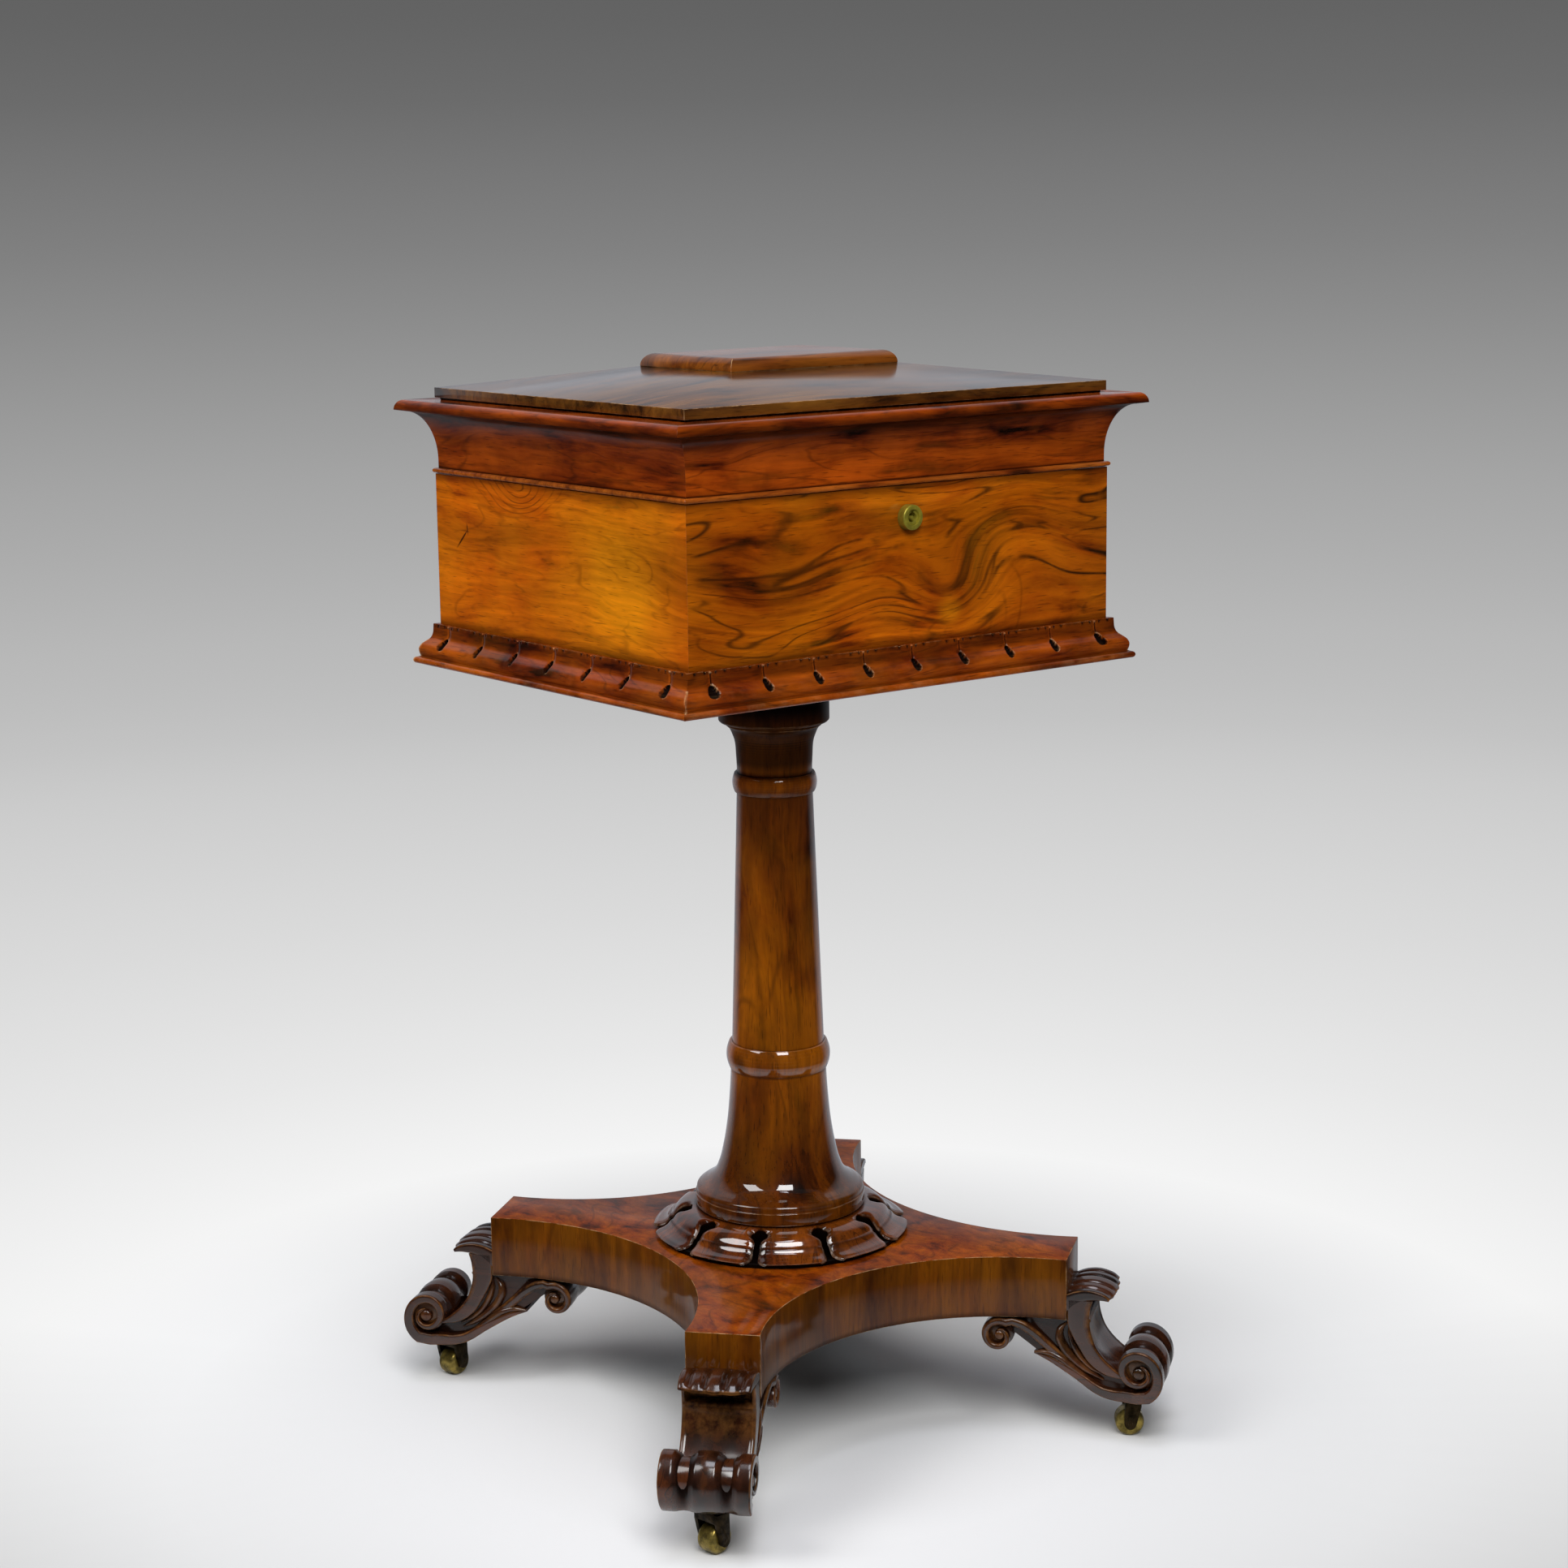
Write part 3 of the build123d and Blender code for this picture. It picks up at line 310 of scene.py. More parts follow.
# Rosewood (a heavy, oily hardwood, sliced for veneer or turned and carved solid) under French polish,
# many thin coats of shellac rubbed on with a pad. The eye gets red-brown to golden heartwood, dark contour
# lines that swirl round knots, short dark pores along the grain, a clear gloss coat over it all, and pale
# or bare wood along the edges.
rosewoodLook = {
    # the colours across the figure: streak, shade, body, light, and where fibres turn to the light
    "tones": ("#2a1004", "#64290a", "#94480e", "#b8661a", "#c87c1c"),
    "brightShare": 0.35,
    "worn": "#d0a878",       # edges where the polish is gone, and a few painted highlights
    "wornShare": 0.75,
    "wornStart": 0.42,       # how low the patches of wear start; lower spreads them
    "dirt": "#0c0402",       # the colour that painted shade in hollows, under things and between parts darkens towards; the dark bands use it too
    # mm between the main dark streaks, mm across a swirl, mm by which it bends the streaks, and how much of
    # the surface is dark: 0 keeps the colours, 1 makes most of it streak
    "figure": (13.0, 95.0, 26.0, 0.5),
    "streakLength": 7.0,     # a streak is this many times as long as wide
    # contour lines from the palest to the darkest place of the figure, and how strong they are
    "contours": (9.0, 0.6),
    "fineGap": 1.6,          # mm between fine growth lines; the real 0.5 mm is too fine to show
    "fineShare": 1.0,
    "pore": 0.5,             # mm across a pore
    "knots": (),             # (along, across, size, reach) in mm: the streaks bulge round such a place
    "glow": (),              # (along, across, size, share) in mm: a golden place
    "shadows": (),           # the same for a painted shadow
    "rings": (),             # (along, across, gap, radius in mm, share): curved lines round a cut-off knot
    "mottle": 0.25,          # how much the colour wanders from place to place
    "cracks": (),            # (along, across, half length, half width in mm, degrees): a short dusty split
    "dirtBands": (),         # (height, reach, share) in mm: painted shade in a hollow line round the piece
    "darkBands": (),         # the same, but it only darkens the colour and leaves the clear coat whole
    "coat": (0.7, 0.09, 1.5),    # weight, roughness and index of refraction of the clear coat
    "roughness": 0.45,
    "relief": 0.10,
}


def rosewood(name, changes):
    look = {**rosewoodLook, **changes}
    streak, shade, body, light, bright = look["tones"]
    streakGap, swirlSize, swirlReach, darkness = look["figure"]
    contours, contourShare = look["contours"]
    polish, coatRoughness, coatIor = look["coat"]
    material, tree = newMaterial(name)
    grain = attribute(tree, "grain", "Vector")
    flatPlace = vectorCalc(tree, "MULTIPLY", grain, (1.0, 1.0, 0.0))

    # swirls: the place is moved by a slow noise, stretched along the grain
    swirl = noise(tree, stretched(tree, grain, (0.45, 1.0, 1.0)), 1000 / swirlSize)
    offset = vectorCalc(tree, "SUBTRACT", swirl.outputs["Color"], (0.5, 0.5, 0.5))
    bent = vectorCalc(tree, "ADD", grain, vectorCalc(tree, "SCALE", offset, 2 * swirlReach * mm))

    # knots: streaks are pushed across the grain by reach * exp(-(distance / size)^2)
    for along, across, size, push in look["knots"]:
        away = vectorCalc(tree, "SUBTRACT", bent, (along * mm, across * mm, 0))
        flat = vectorCalc(tree, "MULTIPLY", away, (0.7 / (size * mm), 1 / (size * mm), 0))
        square = vectorCalc(tree, "DOT_PRODUCT", flat, flat)
        swell = calc(tree, "EXPONENT", calc(tree, "MULTIPLY", square, -1.0))
        shove = addNode(tree, "CombineXYZ", {"Y": swell})
        bent = vectorCalc(tree, "ADD", bent, vectorCalc(tree, "SCALE", shove, push * mm))

    # smoky streaks: noise squeezed across the grain
    broad = stretched(tree, bent, (1 / look["streakLength"], 1.0, 0.7))
    streaks = noise(tree, broad, 1000 / streakGap / 1.6, 6.0, 0.6, 0.3)
    low = 0.26 + 0.16 * darkness
    figure = addNode(tree, "ValToRGB", {"Fac": streaks, "stops": (
        (low, streak), (low + 0.07, shade), (low + 0.16, body), (low + 0.32, light))})

    # contour lines: a smooth noise folded up and down, dark near each fold, and broken by another noise
    calm = noise(tree, broad, 1000 / streakGap / 4, 2.0, 0.4, 0.6)
    fold = calc(tree, "PINGPONG", calc(tree, "MULTIPLY", calm, contours))
    kept = remap(tree, noise(tree, bent, 38.0, 3.0), 0.36, 0.54)
    contour = calc(tree, "MULTIPLY", remap(tree, fold, 0.13, 0.0, 0.0, contourShare, True), kept)

    def spotted(share, spots):
        # adds round spots to a share, each fading smoothly to nothing at its rim
        for along, across, size, most in spots:
            away = vectorCalc(tree, "DISTANCE", flatPlace, (along * mm, across * mm, 0))
            share = calc(tree, "ADD", share, remap(tree, away, size * mm, 0.0, 0.0, most, True), True)
        return share

    # golden clouds, and dark places that include the painted shadows
    cloud = noise(tree, bent, 1000 / (swirlSize * 0.7), 4.0)
    golden = spotted(remap(tree, cloud, 0.42, 0.66, 0.0, look["brightShare"]), look["glow"])
    dark = spotted(contour, look["shadows"])
    for along, across, gap, radius, most in look["rings"]:
        away = vectorCalc(tree, "SUBTRACT", vectorCalc(tree, "MULTIPLY", bent, (1.0, 1.0, 0.0)),
                          (along * mm, across * mm, 0))
        distance = vectorCalc(tree, "LENGTH", vectorCalc(tree, "MULTIPLY", away, (0.6, 1.0, 0.0)))
        saw = calc(tree, "PINGPONG", calc(tree, "MULTIPLY", distance, 1 / (gap * mm)))
        arc = calc(tree, "MULTIPLY", remap(tree, saw, 0.2, 0.0, 0.0, most, True),
                   remap(tree, distance, radius * mm, 0.6 * radius * mm))
        dark = calc(tree, "MAXIMUM", dark, calc(tree, "MULTIPLY", arc, kept))
    for along, across, halfLength, halfWidth, degrees in look["cracks"]:
        local = addNode(tree, "Mapping", {
            "vector_type": "TEXTURE", "Vector": flatPlace, "Location": (along * mm, across * mm, 0),
            "Rotation": (0, 0, radians(degrees)), "Scale": (halfLength * mm, halfWidth * mm, 1)})
        dark = calc(tree, "MAXIMUM", dark, remap(tree, vectorCalc(tree, "LENGTH", local), 1.0, 0.5))
    colour = blend(tree, golden, figure, linear(bright))
    colour = blend(tree, dark, colour, linear(streak))

    # fine growth lines, a wandering tone and pores
    lines = noise(tree, stretched(tree, bent, (0.035, 1.0, 0.5)), 1000 / look["fineGap"] / 2, 3.0, 0.6)
    fine = remap(tree, lines, 0.35, 0.65, 1 - 0.22 * look["fineShare"], 1 + 0.14 * look["fineShare"])
    patches = noise(tree, broad, 24.0, 6.0, 0.62, 0.5)
    wander = remap(tree, patches, 0.34, 0.66, 1 - look["mottle"], 1 + look["mottle"])
    colour = blend(tree, 1.0, colour, calc(tree, "MULTIPLY", fine, wander), "MULTIPLY")
    pores = noise(tree, stretched(tree, grain, (0.07, 1.0, 1.0)), 1000 / look["pore"] / 2, 1.0)
    pore = remap(tree, pores, 0.62, 0.72)
    colour = blend(tree, calc(tree, "MULTIPLY", pore, 0.5), colour, linear(streak))

    # painted shade darkens the hollows; edges have lost their polish in patches, and a few pale marks are
    # painted highlights
    height = addNode(tree, "SeparateXYZ", {0: addNode(tree, "TexCoord").outputs["Object"]}).outputs["Z"]

    def banded(share, bands):
        for level, reachUp, most in bands:
            far = calc(tree, "ABSOLUTE", calc(tree, "SUBTRACT", height, level * mm))
            share = calc(tree, "MAXIMUM", share, remap(tree, far, reachUp * mm, 0.0, 0.0, most, True))
        return share

    dirt = banded(attribute(tree, "grime"), look["dirtBands"])
    colour = blend(tree, banded(dirt, look["darkBands"]), colour, linear(look["dirt"]))
    wear = attribute(tree, "wear")
    patchy = remap(tree, noise(tree, grain, 90.0, 4.0, 0.7), look["wornStart"], look["wornStart"] + 0.22,
                   0.0, look["wornShare"])
    colour = blend(tree, calc(tree, "MULTIPLY", patchy, wear, True), colour, linear(look["worn"]))

    # the clear coat is thin under painted shade and where the wood is worn
    dull = calc(tree, "MAXIMUM", dirt, wear)
    rub = noise(tree, grain, 22.0, 4.0)
    relief = addNode(tree, "Bump", {"Height": calc(tree, "SUBTRACT", lines, pore), "Strength": look["relief"],
                                    "Distance": 0.0004})
    finishMaterial(tree, {
        "Base Color": colour, "Normal": relief, "IOR": 1.5, "Specular IOR Level": 0.04,
        "Roughness": remap(tree, rub, 0.3, 0.7, look["roughness"] - 0.09, look["roughness"] + 0.09),
        "Coat Weight": remap(tree, dull, 0.1, 0.8, polish, 0.05 * polish),
        "Coat Roughness": coatRoughness, "Coat IOR": coatIor})
    return material


# Cast and turned brass, unlacquered and handled for two centuries: olive-gold with brown tarnish in
# patches and a soft shine where it is rubbed. bare is how much of the metal shows through wax and grime.
def oldBrass(name, base, tarnish, roughness, tarnishShare=0.6, bare=1.0):
    material, tree = newMaterial(name)
    cloud = noise(tree, addNode(tree, "TexCoord").outputs["Object"], 160.0, 6.0, 0.65)
    patch = remap(tree, cloud, 0.40, 0.62, 0.0, tarnishShare)
    finishMaterial(tree, {
        "Base Color": blend(tree, patch, linear(base), linear(tarnish)), "Metallic": bare,
        "Roughness": remap(tree, patch, 0.0, 1.0, roughness, roughness + 0.25),
        "Normal": addNode(tree, "Bump", {"Height": cloud, "Strength": 0.12, "Distance": 0.0003})})
    return material


# Blown and cut lead glass: clear with a faint grey-green cast.
def leadGlass(name):
    material, tree = newMaterial(name)
    ripple = noise(tree, addNode(tree, "TexCoord").outputs["Object"], 60.0, 1.0)
    finishMaterial(tree, {
        "Base Color": linear("#eef3ef"), "Transmission Weight": 1.0, "IOR": 1.54, "Roughness": 0.03,
        "Normal": addNode(tree, "Bump", {"Height": ripple, "Strength": 0.05, "Distance": 0.001})})
    return material


# painted shade on the chest boards just above the base moulding and just under the bead
chestShade = ((577.0, 9.0, 0.7), (684.0, 8.0, 0.65))
# its shadows are painted shade: over the right end, under the bead and at the left corner
frontVeneer = rosewood("frontBoardVeneer", {
    "tones": ("#281403", "#732c02", "#a04602", "#bc5d04", "#cb7306"), "figure": (8.5, 115.0, 22.0, 0.26),
    "contours": (8.0, 0.7), "mottle": 0.34, "brightShare": 0.45, "dirtBands": chestShade,
    "knots": ((36, 612, 30, 30), (-120, 600, 60, 24), (90, 640, 36, -20)),
    "rings": ((58, 598, 8.0, 40, 0.35),), "glow": ((36, 597, 15, 0.9),),
    "shadows": ((190, 620, 150, 0.36), (60, 690, 60, 0.12), (-175, 660, 60, 0.15))})
sideVeneer = rosewood("sideBoardVeneer", {
    "tones": ("#4a2002", "#923c02", "#ae5002", "#ba5a03", "#d17c06"), "figure": (7.0, 80.0, 20.0, 0.18),
    "contours": (7.0, 0.32), "mottle": 0.32, "streakLength": 5.0, "fineShare": 0.9, "dirtBands": chestShade,
    "cracks": ((114.5, 641, 12, 1.0, -43), (108, 648, 5, 0.8, 80)), "knots": ((43, 690, 30, 14),),
    "rings": ((50, 694, 5.5, 40, 0.7),), "glow": ((-70, 628, 95, 0.9),)})
backVeneer = rosewood("backBoardVeneer", {
    "tones": ("#260f02", "#632603", "#893c04", "#a35108", "#c87c1c"), "figure": (12.0, 110.0, 30.0, 0.45),
    "dirtBands": chestShade})
mouldingVeneer = rosewood("mouldingRosewood", {
    "tones": ("#230c02", "#571c03", "#7c3004", "#994406", "#a65509"), "figure": (7.0, 70.0, 12.0, 0.4),
    "contours": (9.0, 0.4), "brightShare": 0.4})
# painted shade on the cornice in the gap above the bead and under its lip
corniceVeneer = rosewood("corniceRosewood", {
    "tones": ("#1f0b02", "#551a02", "#7a2d03", "#933e05", "#b04e0a"), "figure": (7.0, 60.0, 12.0, 0.4),
    "contours": (9.0, 0.4), "mottle": 0.35, "brightShare": 0.5,
    "dirtBands": ((687.6, 1.6, 0.85), (726.0, 11.0, 0.75))})
# the bead's lighter tones and paler worn edges are partly its own wood and wear, partly a painted highlight
# along it
beadRosewood = rosewood("beadRosewood", {
    "tones": ("#3a1806", "#6e2c0a", "#8c420e", "#a45618", "#a85c20"), "figure": (5.0, 95.0, 26.0, 0.2),
    "contours": (9.0, 0.2), "worn": "#c89058", "wornShare": 0.5})
# painted shade in the recess under the slab
topVeneer = rosewood("lidTopVeneer", {
    "tones": ("#180b02", "#2c1606", "#54300d", "#6a4212", "#704a16"), "figure": (12.0, 100.0, 22.0, 0.4),
    "coat": (1.0, 0.16, 1.65), "brightShare": 0.2, "dirtBands": ((735.0, 1.6, 0.9),)})
plateauWood = rosewood("plateauRosewood", {
    "tones": ("#200d03", "#441d06", "#62300a", "#77400e", "#854c12"), "figure": (9.0, 100.0, 8.0, 0.25),
    "coat": (0.7, 0.14, 1.5), "streakLength": 9.0, "brightShare": 0.4, "wornStart": 0.35})
# painted shade under the chest round the neck and cap and in the creases at the collars; the dark band makes
# the column darker towards its foot
columnWood = rosewood("turnedRosewood", {
    "tones": ("#210c01", "#532200", "#7a3801", "#934b02", "#a15b02"), "figure": (14.0, 70.0, 12.0, 0.3),
    "contours": (6.0, 0.35), "coat": (1.0, 0.05, 1.75), "mottle": 0.42, "streakLength": 4.0,
    "brightShare": 0.6, "dirtBands": ((522.0, 46.0, 1.0), (457.5, 8.0, 0.6), (256.5, 5.0, 0.5)),
    "darkBands": ((175.0, 180.0, 0.6),)})
platformTopVeneer = rosewood("platformTopVeneer", {
    "tones": ("#1e0b03", "#501d02", "#793104", "#8f4405", "#9b5207"), "figure": (12.0, 90.0, 24.0, 0.3),
    "contours": (6.0, 0.4), "coat": (0.22, 0.12, 1.5)})
# painted shade along the lower edge of the sides
platformSideVeneer = rosewood("platformSideVeneer", {
    "tones": ("#270f01", "#411c01", "#542901", "#5e3202", "#6b3f03"), "figure": (12.0, 60.0, 6.0, 0.2),
    "contours": (5.0, 0.3), "coat": (0.45, 0.09, 1.5), "streakLength": 5.0,
    "dirtBands": ((90.0, 5.0, 0.6),), "mottle": 0.4})
carvedWood = rosewood("carvedRosewood", {
    "tones": ("#0c0603", "#170b06", "#26120a", "#3a1c0c", "#55290f"), "figure": (9.0, 60.0, 10.0, 0.4),
    "coat": (0.8, 0.16, 1.7), "mottle": 0.4, "wornStart": 0.38, "brightShare": 0.4, "worn": "#95622f",
    "wornShare": 0.6, "roughness": 0.42})
# near black darkening, so the painted shade in the slots and under the petals reads as deep shade
lotusWood = rosewood("carvedCollarRosewood", {
    "tones": ("#130602", "#371304", "#592507", "#703509", "#80440c"), "figure": (9.0, 60.0, 10.0, 0.35),
    "coat": (1.0, 0.06, 1.8), "wornShare": 0.42, "brightShare": 0.4, "worn": "#b89a80", "dirt": "#060201"})
# The platform's underside: a rough sawn board painted near black and matt, so the shade under the platform
# stays dark and takes no red from the wood; no polish, no figure to speak of.
underShadeWood = rosewood("stainedUnderside", {
    "tones": ("#0e0a08", "#1c1612", "#28201a", "#342a22", "#3a2f26"), "contours": (9.0, 0.1),
    "coat": (0.0, 0.09, 1.5), "roughness": 0.8})
innerMahogany = rosewood("insideMahogany", {
    "tones": ("#3a160a", "#5c2812", "#7c3c1c", "#8f4c26", "#a05c30"), "figure": (6.0, 120.0, 6.0, 0.2),
    "contours": (9.0, 0.3), "coat": (0.3, 0.25, 1.5), "streakLength": 16.0})
lockBrass = oldBrass("turnedLockBrass", "#a89c34", "#5a5218", 0.34, 0.5, 0.5)
wheelBrass = oldBrass("castWheelBrass", "#9a8640", "#332c10", 0.3, 0.8, 0.75)
hornBronze = oldBrass("tarnishedHornBrass", "#33291a", "#0f0c08", 0.4, 0.9)
hingeBrass = oldBrass("rolledHingeBrass", "#b89a4c", "#6a5424", 0.3)
bowlGlass = leadGlass("cutLeadGlass")
print("materials made")

# ---- Chest and lid, from the CAD solids ----

for node, material, axes, shift in (
    ("chest_front_board", frontVeneer, "xzy", (0, 0, 0)),
    ("chest_back_board", backVeneer, "xzy", (300, 40, 0)),
    ("chest_left_board", sideVeneer, "yzx", (0, 0, 0)),
    ("chest_right_board", backVeneer, "yzx", (-500, 90, 0)),
    ("lid_cornice_front", corniceVeneer, "xzy", (100, 0, 0)),
    ("lid_cornice_back", corniceVeneer, "xzy", (700, 0, 0)),
    ("lid_cornice_left", corniceVeneer, "yzx", (0, 60, 0)),
    ("lid_cornice_right", corniceVeneer, "yzx", (400, 60, 0)),
    ("lid_beads", beadRosewood, "xyz", (0, 0, 0)),
    ("lid_top", topVeneer, "xyz", (0, 0, 0)),
    ("lid_plateau", plateauWood, "xyz", (300, 200, 0)),
):
    worn = 0.9 if node in ("lid_top", "lid_plateau") else 0.16
    finishedCopy(node, material, axes, 0.35, shift, worn)
for node in ("chest_bottom_board", "lid_lining", "bowl_tray", "column_plate", "partition_left",
             "partition_right", "canister_divider_left", "canister_divider_right"):
    finishedCopy(node, innerMahogany, "yzx" if node == "partition_left" else "xyz", 0.25)
print("chest and lid made")

# ---- Carved base moulding ----

# the moulding's profile in mm: out from the chest's face and up from its underside
chest = {"bottom": 550.5, "reach": 14.6, "nose": 2.3, "top": 28.1, "fillet": 3.6,
         "curve": ((10.6, 5.3), (11.4, 8.0), (11.5, 10.6), (10.3, 13.4), (7.8, 15.8), (5.3, 18.2),
                   (4.1, 21.6), (3.8, 25.0), (3.7, 27.6))}
# each side: the way it faces, half its length, its distance from the middle, drop holes and their spacing
sideFrames = {
    "front": ((0, -1), 180.0, 147.0, 9, 41.2),
    "back": ((0, 1), 180.0, 147.0, 9, 41.2),
    "left": ((-1, 0), 147.0, 180.0, 7, 43.6),
    "right": ((1, 0), 147.0, 180.0, 7, 43.6),
}
carving = {
    "startOut": 2.5, "startUp": 4.6,               # nothing is carved nearer the face or lower down
    "holeHeight": 14.2, "holeWidth": 2.9, "holeTall": 3.9, "holeDepth": 2.6,
    "belowShare": 0.75, "aboveShare": 1.25,        # a hole is a drop, blunt below and long above
    "lineWidth": 0.75, "lineDepth": 0.9,           # a cut line runs up from each hole, between two tongues
    "lineSway": 0.5, "lineWave": 4.5,
    "shoulder": 4.5, "shoulderDepth": 0.7,         # each tongue is softly rounded towards the lines
    "nick": 1.0, "nicks": 6, "nickWidth": 1.6,     # along the top edge of a tongue
    "knob": 0.8, "knobWidth": 1.5, "knobHeight": 27.0,    # a bead stands out at the head of each line
    "mitreRun": 20.0,          # the points slide out to the mitre over this length
}


def mouldingSection():
    # the profile as (out from the face, up from the chest's underside), counter-clockwise
    nose = chest["nose"]
    noseX = chest["reach"] - nose
    angle = np.linspace(-np.pi / 2, np.pi / 2, 12)
    noseArc = np.stack([noseX + nose * np.cos(angle), nose + nose * np.sin(angle)], axis=1)
    curve = smoothLine(chest["curve"], 7)
    back = np.array([[chest["fillet"], chest["top"]], [0.0, chest["top"]], [0.0, 0.0]])
    return np.vstack([noseArc, curve, back])


def baseMoulding(side):
    # the profile carried along one side; near an end each point slides out to the mitre in step with its
    # distance from the face. The carving pushes points into the wood, along the profile's own normal
    facing, run, depth, holes, pitch = sideFrames[side]
    outward = np.array([*facing, 0.0])
    along = np.array([-outward[1], outward[0], 0.0])
    section, sharp = softened(mouldingSection(), 0.35, 3)
    out, up = section.T
    normal = -leftOf(np.vstack([section[-1:], section, section[:1]]))[1:-1]
    t = np.linspace(-1, 1, 41)
    centres = (np.arange(holes) - (holes - 1) / 2) * pitch
    stations = (centres[:, None] + (0.3 * t + 0.7 * t**3) * pitch / 2).ravel()
    stations = np.unique(np.concatenate([stations[np.abs(stations) < run - 1], [-run, run],
                                         np.linspace(-run, -run + 12, 8), np.linspace(run - 12, run, 8)]))
    s = stations[:, None]
    nearest = np.clip(np.round((s - centres[0]) / pitch), 0, holes - 1) * pitch + centres[0]
    x = s - nearest
    outer = (out > carving["startOut"]) & (up > carving["startUp"])
    drawnOut = np.where(up < carving["holeHeight"], carving["belowShare"], carving["aboveShare"])
    tall = drawnOut * carving["holeTall"]
    drop = (x / carving["holeWidth"]) ** 2 + ((up - carving["holeHeight"]) / tall) ** 2
    hole = carving["holeDepth"] * (1 - ease(drop, 0.75, 1.05)) * outer
    lineX = x - carving["lineSway"] * np.sin((up - 14) / carving["lineWave"])
    above = ease(up, 16, 18) * (1 - ease(up, 26.3, 26.8)) * outer
    line = carving["lineDepth"] * bump(lineX, carving["lineWidth"]) * above
    shoulder = carving["shoulderDepth"] * bump(x, carving["shoulder"]) * ease(up, 8, 17) * outer
    edge = ease(up, 24.5, 27.6) * (out > carving["startOut"])
    gap = pitch / carving["nicks"]
    nick = (carving["nick"] * bump(np.abs(x) % gap - gap / 2, carving["nickWidth"]) * edge
            * (np.abs(x) > 3))
    knob = -carving["knob"] * bump(
        np.hypot(x, (up - carving["knobHeight"]) * 0.8), carving["knobWidth"]) * outer
    push = np.maximum(hole, line + shoulder) + nick + knob
    placeOut = out - push * normal[:, 0]
    placeUp = up - push * normal[:, 1]
    reach = np.clip((np.abs(s) - run + carving["mitreRun"]) / carving["mitreRun"], 0, 1)
    slid = (s + np.sign(s) * reach * out) * (1 - 2e-4)
    rings = (outward * (depth + placeOut)[..., None] + along * slid[..., None]
             + np.array([0, 0, 1.0]) * (chest["bottom"] + placeUp)[..., None])
    atEnd = ease(np.abs(s), run - 1.2, run) * (out > 6) * (up < 22)
    inHole = (1 - ease(drop, 0.95, 1.12)) * outer
    # wear on the corners, the beads and the mitre ends, and a painted highlight on the rim of each hole's
    # right side
    wear = np.clip(np.maximum(sharp, 0) * 0.8 + 1.2 * np.maximum(-knob, 0)
                   + 0.8 * bump(drop - 1.25, 0.3) * outer * (x > 0) + atEnd, 0, 1)
    # painted shade in the holes, the cut lines and the nicks and in the crease above the nose; the upper part
    # of the carving is darker too
    grime = np.clip(inHole + line * 1.1 + 0.75 * nick + 0.5 * ease(up, 16, 22) * outer * (1 - bump(x, 2))
                    + 0.6 * bump(up - 4.8, 1.2) * (out < 12.5), 0, 1)
    grain = np.stack([slid * np.ones_like(placeOut) + 500 * list(sideFrames).index(side),
                      placeUp + placeOut, placeOut], axis=-1)
    return tube(rings, wear * np.ones_like(push), grime, grain)


for side in sideFrames:
    makePiece("baseMoulding" + side.capitalize(), [baseMoulding(side)], mouldingVeneer, "stand",
              ["base_moulding_" + side], 38)

# ---- Column ----

column = {
    "tenonBottom": 104.5, "lotusTop": 154.5, "discTop": 165.0, "flareTop": 256.5, "shaftBottom": 276.0,
    "shaftTop": 457.5, "neckBottom": 471.5, "capBottom": 507.5, "plateBottom": 536.5, "chestBottom": 550.5,
    "tenon": 18.0, "disc": 61.0, "discEdge": 1.6, "discStep": 0.9, "lowerCollar": 37.2, "lowerEdge": 2.4,
    "upperCollar": 30.0, "upperEdge": 1.8, "shaftRadii": (32.9, 26.9), "cap": 39.1, "capEdge": 1.5,
    "flareTopRadius": 34.1,
    "rim": ((59.9, 3.4), (57.0, 5.8), (52.0, 8.9)),
    "sweep": ((47.0, 13.6), (43.6, 21.0), (40.4, 33.5), (37.4, 51.0), (35.4, 71.0)),
    "neck": ((26.9, 10.9), (28.9, 25.9), (33.8, 33.7)), "neckRadius": 26.6,
    # painted shade in the turned hollows: (height, reach, share), under the cap (from, to, share), and on the
    # rim of the disc, further out than the last number, where it also dulls the highlights
    "dust": ((457.5, 5.0, 0.5), (471.5, 4.0, 0.5), (256.5, 4.0, 0.5), (152.5, 4.0, 0.6)),
    "neckDust": (466.0, 482.0, 0.84), "rimDust": (167.0, 6.0, 0.42, 50.0),
}


def columnProfile():
    # the half outline as (radius, height), from the tenon up
    c = column
    flare = [(c["disc"] - c["discStep"], c["discTop"] + 0.9),
             *((r, c["discTop"] + h) for r, h in c["rim"] + c["sweep"]), (c["flareTopRadius"], c["flareTop"])]
    neck = [(c["neckRadius"], c["neckBottom"]), *((r, c["neckBottom"] + h) for r, h in c["neck"])]
    turn = np.linspace(-1, 1, 9)

    def collar(radius, edge, bottom, top):
        return np.stack([radius - edge * turn**2, (bottom + top) / 2 + turn * (top - bottom) / 2], axis=1)

    return np.vstack([
        [(c["tenon"], c["tenonBottom"]), (c["tenon"], c["lotusTop"]),
         (c["disc"] - c["discEdge"], c["lotusTop"]), (c["disc"], c["lotusTop"] + c["discEdge"]),
         (c["disc"], c["discTop"] - 0.5), (c["disc"] - c["discStep"], c["discTop"])],
        smoothLine(flare, 7, (-0.1, 1), (-0.05, 1)),
        collar(c["lowerCollar"], c["lowerEdge"], c["flareTop"], c["shaftBottom"]),
        [(c["shaftRadii"][0], c["shaftBottom"]), (c["shaftRadii"][1], c["shaftTop"])],
        collar(c["upperCollar"], c["upperEdge"], c["shaftTop"], c["neckBottom"]),
        smoothLine(neck, 8, (0, 1), (1, 0.5)),
        [(neck[-1][0], c["capBottom"]), (c["cap"] - c["capEdge"], c["capBottom"]),
         (c["cap"], c["capBottom"] + c["capEdge"]), (c["cap"], c["plateBottom"]),
         (c["tenon"], c["plateBottom"]), (c["tenon"], c["chestBottom"])],
    ])


